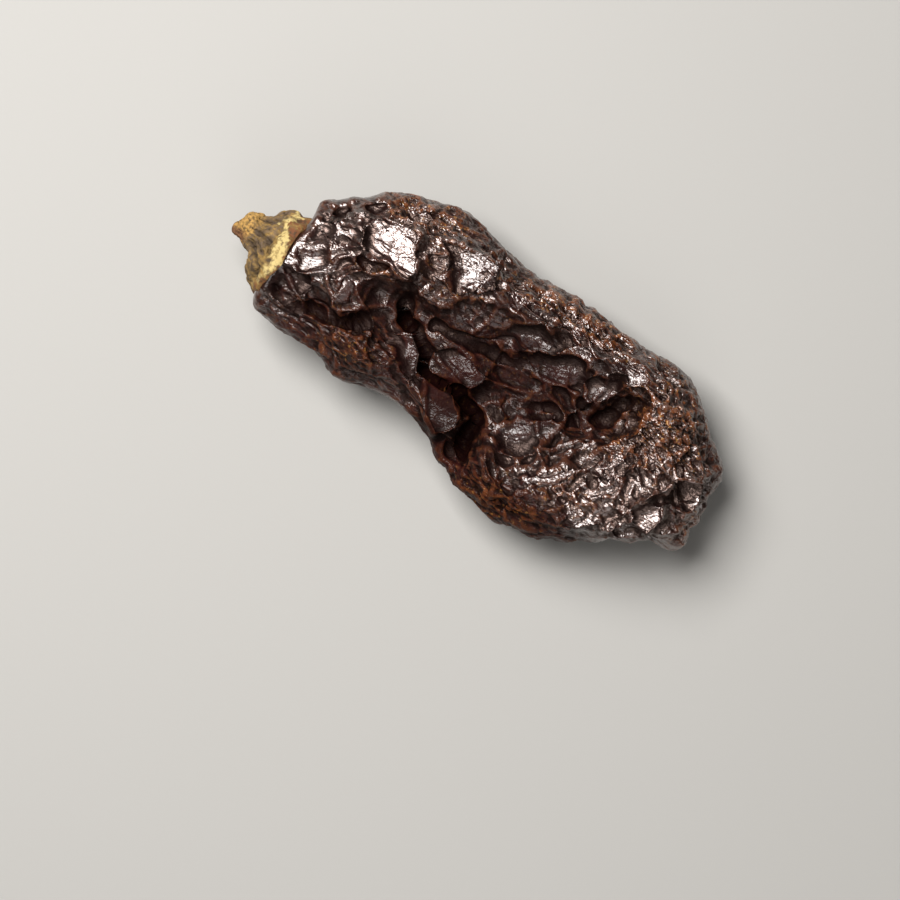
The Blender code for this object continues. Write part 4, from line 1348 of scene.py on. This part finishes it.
    def pleat_heights(self, points: Array) -> tuple[Array, Array]:
        """The pleats along the pod and out from the pocket.

        Args:
            points: rows of x, y, z.

        Returns:
            The pleats' height at each point, and how much of it is a crest.
        """
        out_x, out_y = points[:, 0] - POCKET[0], points[:, 1] - POCKET[1]
        reach = np.hypot(out_x, out_y)
        ring = POCKET_REACH / PLEAT_SPACING / np.maximum(reach, 1.0)
        along = np.column_stack([points[:, 0] * PLEAT_STRETCH, points[:, 1:] / PLEAT_SPACING])
        outward = np.column_stack([out_x * ring, out_y * ring, reach * PLEAT_STRETCH])
        heights, crests = np.zeros(len(points)), np.zeros(len(points))
        for places, ovals in ((along, LONG_PLEATS), (outward, POCKET_PLEATS)):
            waves = np.array([noise.noise(Vector(row)) for row in places.tolist()])
            crest = np.exp(-np.abs(waves) / PLEAT_CREST)
            share = np.zeros(len(points))
            for *oval, height in ovals:
                share = np.maximum(share, height * np.exp(-(away_from(points[:, :2], *oval) ** 4)))
            heights += share * (crest - PLEAT_GROOVE)
            crests = np.maximum(crests, crest**3 * np.minimum(share / PLEAT_FULL, 1.0))
        return heights, crests

    def wander(self, places: Array) -> Array:
        """How far the drawn lines stray to and fro at each place."""
        shifts = [noise.noise_vector(Vector((x, y, 0.0)) / FOLD_WANDER_SIZE) for x, y in places.tolist()]
        return np.array(shifts)[:, :2]

    def crinkle_shares(self, places: Array) -> tuple[Array, Array]:
        """How crinkled and how rusty the skin is.

        Args:
            places: rows of x and y.

        Returns:
            The two shares for each place.
        """
        crinkled = np.full(len(places), CRINKLE_BASE)
        rusty = np.full(len(places), RUST_BASE)
        for *oval, crinkle, rust in CRINKLED:
            share = np.exp(-(away_from(places, *oval) ** 2))
            crinkled += crinkle * share
            rusty = np.maximum(rusty, rust * share)
        return crinkled, rusty

    def relief(self, points: Array, normals: Array) -> Array:
        """How far the skin stands out from the skin around it.

        Args:
            points: rows of x, y, z, in metres.
            normals: the way that each point faces.

        Returns:
            Millimetres for each point, and below 0 in a groove.
        """
        grid = points[1:-1].reshape(self.rings, self.sides, 3)
        around = grid
        for _ in range(RELIEF_STEPS):
            lengthwise = np.concatenate([around[:1], around[:-1]]) + np.concatenate([around[1:], around[-1:]])
            beside = lengthwise + np.roll(around, 1, axis=1) + np.roll(around, -1, axis=1)
            around = RELIEF_KEPT * around + (1.0 - RELIEF_KEPT) / 4.0 * beside
        out = np.zeros(len(points))
        out[1:-1] = np.sum((grid - around).reshape(-1, 3) * normals[1:-1], axis=1) / MM
        return out

    def seat_distance(self, points: Array) -> Array:
        """Distance from the flat disc that carries the calyx.

        Args:
            points: rows of x, y, z.

        Returns:
            One distance for each point.
        """
        axis = np.array(stem_direction())
        offset = points - np.array(SEAT_CENTRE)
        along = offset @ axis
        radius = np.linalg.norm(offset - along[:, None] * axis, axis=1)
        return np.hypot(np.maximum(radius - SEAT_RADIUS, 0.0), along)

    def build(self, skin: bpy.types.Material, crinkle: CrinkleTree) -> bpy.types.Object:
        """Builds the pod.

        Args:
            skin: its material.
            crinkle: the tree of its fine wrinkles.

        Returns:
            The pod, a closed mesh that rests on z 0.
        """
        points = self.smooth_points()
        mesh = ringed_mesh("pod_skin", points * MM, self.rings, self.sides)
        upward = mesh_normals(mesh)[:, 2]
        facing = smooth_step(upward, *UPRIGHT_FADE)
        places = points[:, :2].copy()
        stray = self.wander(places)
        strayed = places + stray * FOLD_WANDER
        calm = smooth_step(self.seat_distance(points), 0.0, SEAT_CALM)
        for side in Side:
            rise = self.fold_heights(strayed, side)
            points[:, 2] += rise * smooth_step(upward * side.value, *UPRIGHT_FADE) * calm
        outlined = places + stray * FACET_WANDER
        points[:, 2] += self.flattening(points, outlined) * facing * calm
        move_points(mesh, points * MM)

        from_rest = np.linalg.norm(points - REST_CENTRE, axis=1)
        calm *= smooth_step(from_rest, REST_SPOT_RADIUS, REST_SPOT_RADIUS + REST_CALM)
        taut = self.taut_shares(outlined) * (upward > 0.0)
        folds = stroke_heights(strayed, tuple(row for row in UPPER_STROKES if row[0] < 0.0)) * facing
        folded = np.clip(-folds / FOLD_FULL, 0.0, 1.0) ** FOLD_EASE
        net, ridges = self.net_heights(points)
        pleats, crests = self.pleat_heights(points)
        rim = 1.0 - smooth_step(np.abs(upward), *RIM)
        bulge = np.full(len(points), RIM_SWELL)
        for x, y, height in RIM_BULGES:
            bulge += height * np.exp(-(np.hypot(places[:, 0] - x, places[:, 1] - y) / RIM_BULGE_WIDTH) ** 2)
        seams = SEAM_RISE * stroke_heights(places + stray * SEAM_WANDER, SEAMS) * facing
        creases = stroke_heights(strayed, CREASES) * facing
        net *= (1.0 - PANEL_CALM * taut) * (1.0 - RIM_CALM * rim) * (1.0 - NET_CALM_IN_FOLDS * folded)
        net *= 1.0 - NET_CALM_ON_PLEATS * np.clip(crests, 0.0, 1.0)
        pleats *= facing * (1.0 - PLEAT_CALM * self.facet_shares(outlined)) * (1.0 - PLEAT_CALM * folded)
        relief = net + seams + pleats
        relief = np.minimum(relief, CREST_LIMIT[0] + (relief - CREST_LIMIT[0]) * CREST_LIMIT[1])
        rise = relief - SKIN_INSET + bulge * rim + creases
        points += mesh_normals(mesh) * (rise * calm)[:, None]
        points[:, 2] = np.maximum(points[:, 2], 0.0)
        move_points(mesh, points * MM)

        crinkled, rusty = self.crinkle_shares(places)
        hollow = np.minimum(self.fold_heights(strayed, Side.UPPER), 0.0) * facing
        crinkled = crinkled * (1.0 - CRINKLE_CALM[0] * taut) * (1.0 - CRINKLE_CALM[1] * folded) * calm
        store(mesh, "crinkle", crinkled)
        store(mesh, "rust", rusty * (1.0 - RUST_CALM * taut))
        high = np.maximum(np.maximum(ridges, seams / SEAM_FULL), crests * facing)
        store(mesh, "ridge", np.clip(high, 0.0, 1.0) * (1.0 - RIDGE_CALM * taut))
        dull = [row[5] * np.exp(-(away_from(places, *row[:5]) ** 4)) for row in DULL]
        store(mesh, "dull", np.clip(np.sum(dull, axis=0), -1.0, 1.0))
        # Painted shade: hollows, creases and folds get a share that darkens the skin and takes its shine
        deep_shade = 0.5 * smooth_step(-hollow, *HOLLOW_DEPTHS)
        deep_shade = np.maximum(deep_shade, smooth_step(-creases, *CREASE_DEPTHS))
        store(mesh, "fold_shade", np.maximum(deep_shade, 0.95 * smooth_step(folded, *FOLD_SHARES)))

        pod = finished_piece("dried_pod", mesh, crinkle.build(), {**crinkle.values(), "Material": skin})
        points = mesh_points(pod.data)
        points[:, 2] = np.maximum(points[:, 2], 0.0)
        move_points(pod.data, points)
        store(pod.data, "relief", self.relief(points, mesh_normals(pod.data)))
        pod.data.shade_smooth()
        return pod


@dataclass(frozen=True)
class FibreTree:
    """The fibres along the calyx and stem, as geometry nodes."""

    spacing: float = 0.55
    height: float = 0.16
    pit: float = 0.22
    pit_size: float = 1.1
    fibre_shares: Limits = (0.3, 0.7, -0.5, 0.5)
    pit_shares: Limits = (0.5, 0.3, 0.0, 1.0)

    def build(self) -> NodeTree:
        """Builds the tree: long ridges and pits of the dry wood, raised along its normals.

        Returns:
            The tree. Its inputs are the fibres' spacing and height, the pits' depth and the material.
        """
        tree, given = new_geometry_tree("calyx_fibres", self.values())
        settings = {"data_type": "FLOAT_VECTOR"}
        grain = add_node(tree, "GeometryNodeInputNamedAttribute", settings, Name="grain").outputs[0]
        rate = maths(tree, "DIVIDE", 1.0, given["Spacing"])
        fibre = noise_share(tree, grain, rate, 2.0)
        fibre = ranged(tree, fibre, *self.fibre_shares)
        fibre = maths(tree, "MULTIPLY", fibre, given["Height"])
        place = add_node(tree, "GeometryNodeInputPosition").outputs[0]
        pits = noise_share(tree, place, 1.0 / (self.pit_size * MM), 2.0)
        pits = ranged(tree, pits, *self.pit_shares)
        pits = maths(tree, "MULTIPLY", pits, given["Pit depth"])
        height = maths(tree, "SUBTRACT", fibre, pits)
        finish_geometry_tree(tree, given, given["Geometry"], height, "rough")
        return tree

    def values(self) -> dict[str, Any]:
        """The tree's number inputs, by name."""
        return {"Spacing": self.spacing, "Height": self.height, "Pit depth": self.pit}


@dataclass
class Calyx:
    """The woody cap on the pod's shoulder, grown as one with the broken stub of the stem."""

    rings: int = 190
    sides: int = 300

    def wave(self, turn: Array, size: float, start: float) -> Array:
        """Smooth uneven waves round the calyx, between about -0.5 and 0.5, at each turn round its axis."""
        circle = zip(np.cos(turn).tolist(), np.sin(turn).tolist())
        return np.array([noise.noise(Vector((c, s, start)) / size) for c, s in circle])

    def local_points(self) -> tuple[Array, Array, Array]:
        """The calyx on its own axis.

        Returns:
            Rows of distance from the seat, reach to the far side and height, then the turn round the
            axis and the unwaved distance of each row. Both poles are included.
        """
        rows = smooth_rows(np.array(CALYX_SECTIONS), np.linspace(0.0, 1.0, self.rings))
        turn = np.linspace(0.0, 2.0 * math.pi, self.sides, endpoint=False)
        across = np.sign(np.cos(turn)) * np.abs(np.cos(turn)) ** (2.0 / CALYX_POWER)
        upward = np.sign(np.sin(turn)) * np.abs(np.sin(turn)) ** (2.0 / CALYX_POWER)
        distance, far, near, up, down = (rows[:, k, None] for k in range(5))
        ribs = 1.0 + CALYX_RIB_DEPTH * np.abs(np.sin(CALYX_RIBS * turn / 2.0 + distance * CALYX_RIB_TWIST))
        ribs *= 1.0 - CALYX_RIB_DEPTH / 2.0
        wave = CALYX_WAVE * (self.wave(turn, 0.9, 3.7) + 0.35 * self.wave(turn, 0.3, 8.1))
        waved = distance + wave * (1.0 - smooth_step(distance, 0.4, 1.8))
        lateral = np.where(across > 0.0, far, near) * across * ribs
        height = np.where(upward > 0.0, up, down) * upward * ribs
        grid = np.stack([waved, lateral, height], axis=2).reshape(-1, 3)
        poles = np.array([[CALYX_SECTIONS[0][0], 0.0, 0.0], [CALYX_SECTIONS[-1][0], 0.0, 0.0]])
        turns = np.concatenate([[0.0], np.tile(turn, self.rings), [0.0]])
        plain = np.concatenate([[rows[0, 0]], np.repeat(rows[:, 0], self.sides), [rows[-1, 0]]])
        return np.concatenate([poles[:1], grid, poles[1:]]), turns, plain

    def paint(self, mesh: bpy.types.Mesh, local: Array, turns: Array, plain: Array) -> None:
        """Stores where the wood has each of its colours, and the way of its fibres.

        Args:
            mesh: the calyx's mesh.
            local: distance, reach to the far side and height of each vertex.
            turns: turn of each vertex round the axis.
            plain: distance of each vertex before the rim was waved.
        """
        rows = [Vector(row) for row in local]
        ragged = np.array([noise.noise(row / 0.8) + 0.5 * noise.noise(row / 0.3) for row in rows])
        distance = plain + 0.8 * ragged
        farther = local[:, 1]
        near_share = smooth_step(-farther, 0.5, 4.0)
        end = smooth_step(distance, 4.2, 5.0)
        reach = 1.6 * smooth_step(farther, 1.6, 3.4) + 1.0 * smooth_step(-farther, 3.2, 5.0) - 0.8
        behind = 0.1 + 0.5 * smooth_step(farther, -2.5, 1.0) + 0.9 * smooth_step(farther, 1.0, 3.0)
        pale = smooth_step(distance, reach - 0.1, reach + 0.3)
        pale *= 1.0 - smooth_step(distance, behind, behind + 0.7)
        store(mesh, "end", end)
        store(mesh, "under", end * smooth_step(-farther + 0.4 * ragged, 0.5, 1.3) * 0.8)
        store(mesh, "body", smooth_step(distance, 1.6, 2.4) * (1.0 - end) * 0.8)
        store(mesh, "pale", pale * (1.0 - 0.55 * near_share))
        store(mesh, "edge", (1.0 - smooth_step(distance, reach - 0.2, reach + 0.3)) * 0.9)
        store(mesh, "rough", smooth_step(plain, 0.0, 0.8))
        circle = CALYX_GRAIN_RADIUS * np.cos(turns), CALYX_GRAIN_RADIUS * np.sin(turns)
        grain = np.column_stack([*circle, plain * CALYX_GRAIN_STRETCH])
        layer = mesh.attributes.new("grain", "FLOAT_VECTOR", "POINT")
        layer.data.foreach_set("vector", grain.astype(np.float32).ravel())

    def build(self, wood: bpy.types.Material, fibres: FibreTree) -> bpy.types.Object:
        """Builds the calyx with its stub.

        Args:
            wood: its material.
            fibres: the tree of its fibres.

        Returns:
            The calyx, a closed mesh on the pod's seat.
        """
        local, turns, plain = self.local_points()
        axis = np.array(stem_direction())
        sideways = np.array([axis[1], -axis[0], 0.0])
        start = np.array(SEAT_CENTRE) + axis * SEAT_GAP
        points = start + local[:, :1] * axis + local[:, 1:2] * sideways
        points[:, 2] += local[:, 2]
        mesh = ringed_mesh("calyx_wood", points * MM, self.rings, self.sides)
        knobs = np.array([noise.noise(Vector(row) / CALYX_KNOB_SIZE) for row in local]) * CALYX_KNOB_DEPTH
        normals = mesh_normals(mesh)
        grooves = stroke_heights(points[:, :2], CALYX_GROOVES) * smooth_step(normals[:, 2], 0.0, 0.4)
        points += normals * (knobs * smooth_step(plain, 0.3, 1.6) + grooves)[:, None]
        move_points(mesh, points * MM)
        self.paint(mesh, local, turns, plain)
        # Painted shade: a share for the darker colour laid into the grooves
        store(mesh, "painted_groove_shade", np.clip(-grooves / 0.7, 0.0, 1.0) * 0.8)
        calyx = finished_piece("woody_calyx", mesh, fibres.build(), {**fibres.values(), "Material": wood})
        calyx.data.shade_smooth()
        return calyx


@dataclass(frozen=True)
class SoftLight:
    """One soft box: the way it lies from the pepper, its distance, sizes in millimetres, and power."""

    name: str
    towards: tuple[float, float, float]
    distance: float
    width: float
    length: float
    watts: float

    def build(self, aim: Vector) -> None:
        """Hangs the soft box.

        Args:
            aim: the point that it faces, in metres.
        """
        light = bpy.data.lights.new(self.name, "AREA")
        light.shape = "RECTANGLE"
        light.size, light.size_y = self.width * MM, self.length * MM
        light.energy = self.watts
        lamp = bpy.data.objects.new(self.name, light)
        bpy.context.scene.collection.objects.link(lamp)
        way = Vector(self.towards).normalized()
        lamp.location = aim + way * self.distance * MM
        lamp.rotation_euler = way.to_track_quat("Z", "Y").to_euler()


@dataclass
class Studio:
    """The pale board, the soft boxes and the camera that looks straight down."""

    camera_place: tuple[float, float, float] = (2.13, -10.92, 600.0)
    camera_roll_deg: float = 30.0
    view_width: float = 112.5
    sensor: float = 36.0
    pod_middle: float = 9.0
    board: float = 2400.0
    room_light: float = 0.05
    room_colour: str = "d2cfcc"
    lights: tuple[SoftLight, ...] = (
        SoftLight("key_soft_box", (-0.45, 0.16, 0.88), 420.0, 220.0, 270.0, 3.3),
        SoftLight("side_soft_box", (0.45, -0.62, 0.70), 450.0, 300.0, 300.0, 0.45),
        SoftLight("top_soft_box", (-0.08, -0.12, 1.0), 700.0, 220.0, 220.0, 0.10),
    )

    def build(self, board: bpy.types.Material) -> None:
        """Builds the board, the world, the lights and the camera.

        Args:
            board: the board's material.
        """
        half = self.board * MM / 2.0
        mesh = bpy.data.meshes.new("pale_board")
        corners = [(x * half, y * half, 0.0) for x, y in ((-1, -1), (1, -1), (1, 1), (-1, 1))]
        mesh.from_pydata(corners, [], [(0, 1, 2, 3)])
        mesh.materials.append(board)
        floor = bpy.data.objects.new("pale_board", mesh)
        bpy.context.scene.collection.objects.link(floor)

        world = bpy.data.worlds.new("dim_room")
        world.use_nodes = True
        room = world.node_tree.nodes["Background"]
        room.inputs["Color"].default_value = linear(self.room_colour)
        room.inputs["Strength"].default_value = self.room_light
        bpy.context.scene.world = world
        bpy.context.scene.view_settings.view_transform = "Standard"

        aim = Vector((0.0, 0.0, self.pod_middle * MM))
        for light in self.lights:
            light.build(aim)

        lens = bpy.data.cameras.new("camera")
        lens.sensor_width = self.sensor
        lens.lens = self.sensor * (self.camera_place[2] - self.pod_middle) / self.view_width
        camera = bpy.data.objects.new("camera", lens)
        bpy.context.scene.collection.objects.link(camera)
        camera.location = Vector(self.camera_place) * MM
        camera.rotation_euler = (0.0, 0.0, math.radians(self.camera_roll_deg))
        bpy.context.scene.camera = camera


def main() -> None:
    """Builds the pepper and the studio, and reports each piece."""
    logging.basicConfig(level=logging.INFO, format="%(message)s")
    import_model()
    noise.seed_set(STRAY_SEED)

    Studio().build(PaleBoard().build())
    pieces = {
        "pod": Pod().build(DriedSkin().build(), CrinkleTree()),
        "calyx_and_stem": Calyx().build(DryCalyx().build(), FibreTree()),
    }
    for node, piece in pieces.items():
        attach(piece, BODY)
        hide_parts(node)
        LOG.info("%s stands for %s: %d faces", piece.name, node, len(piece.data.polygons))


if __name__ == "__main__":
    main()
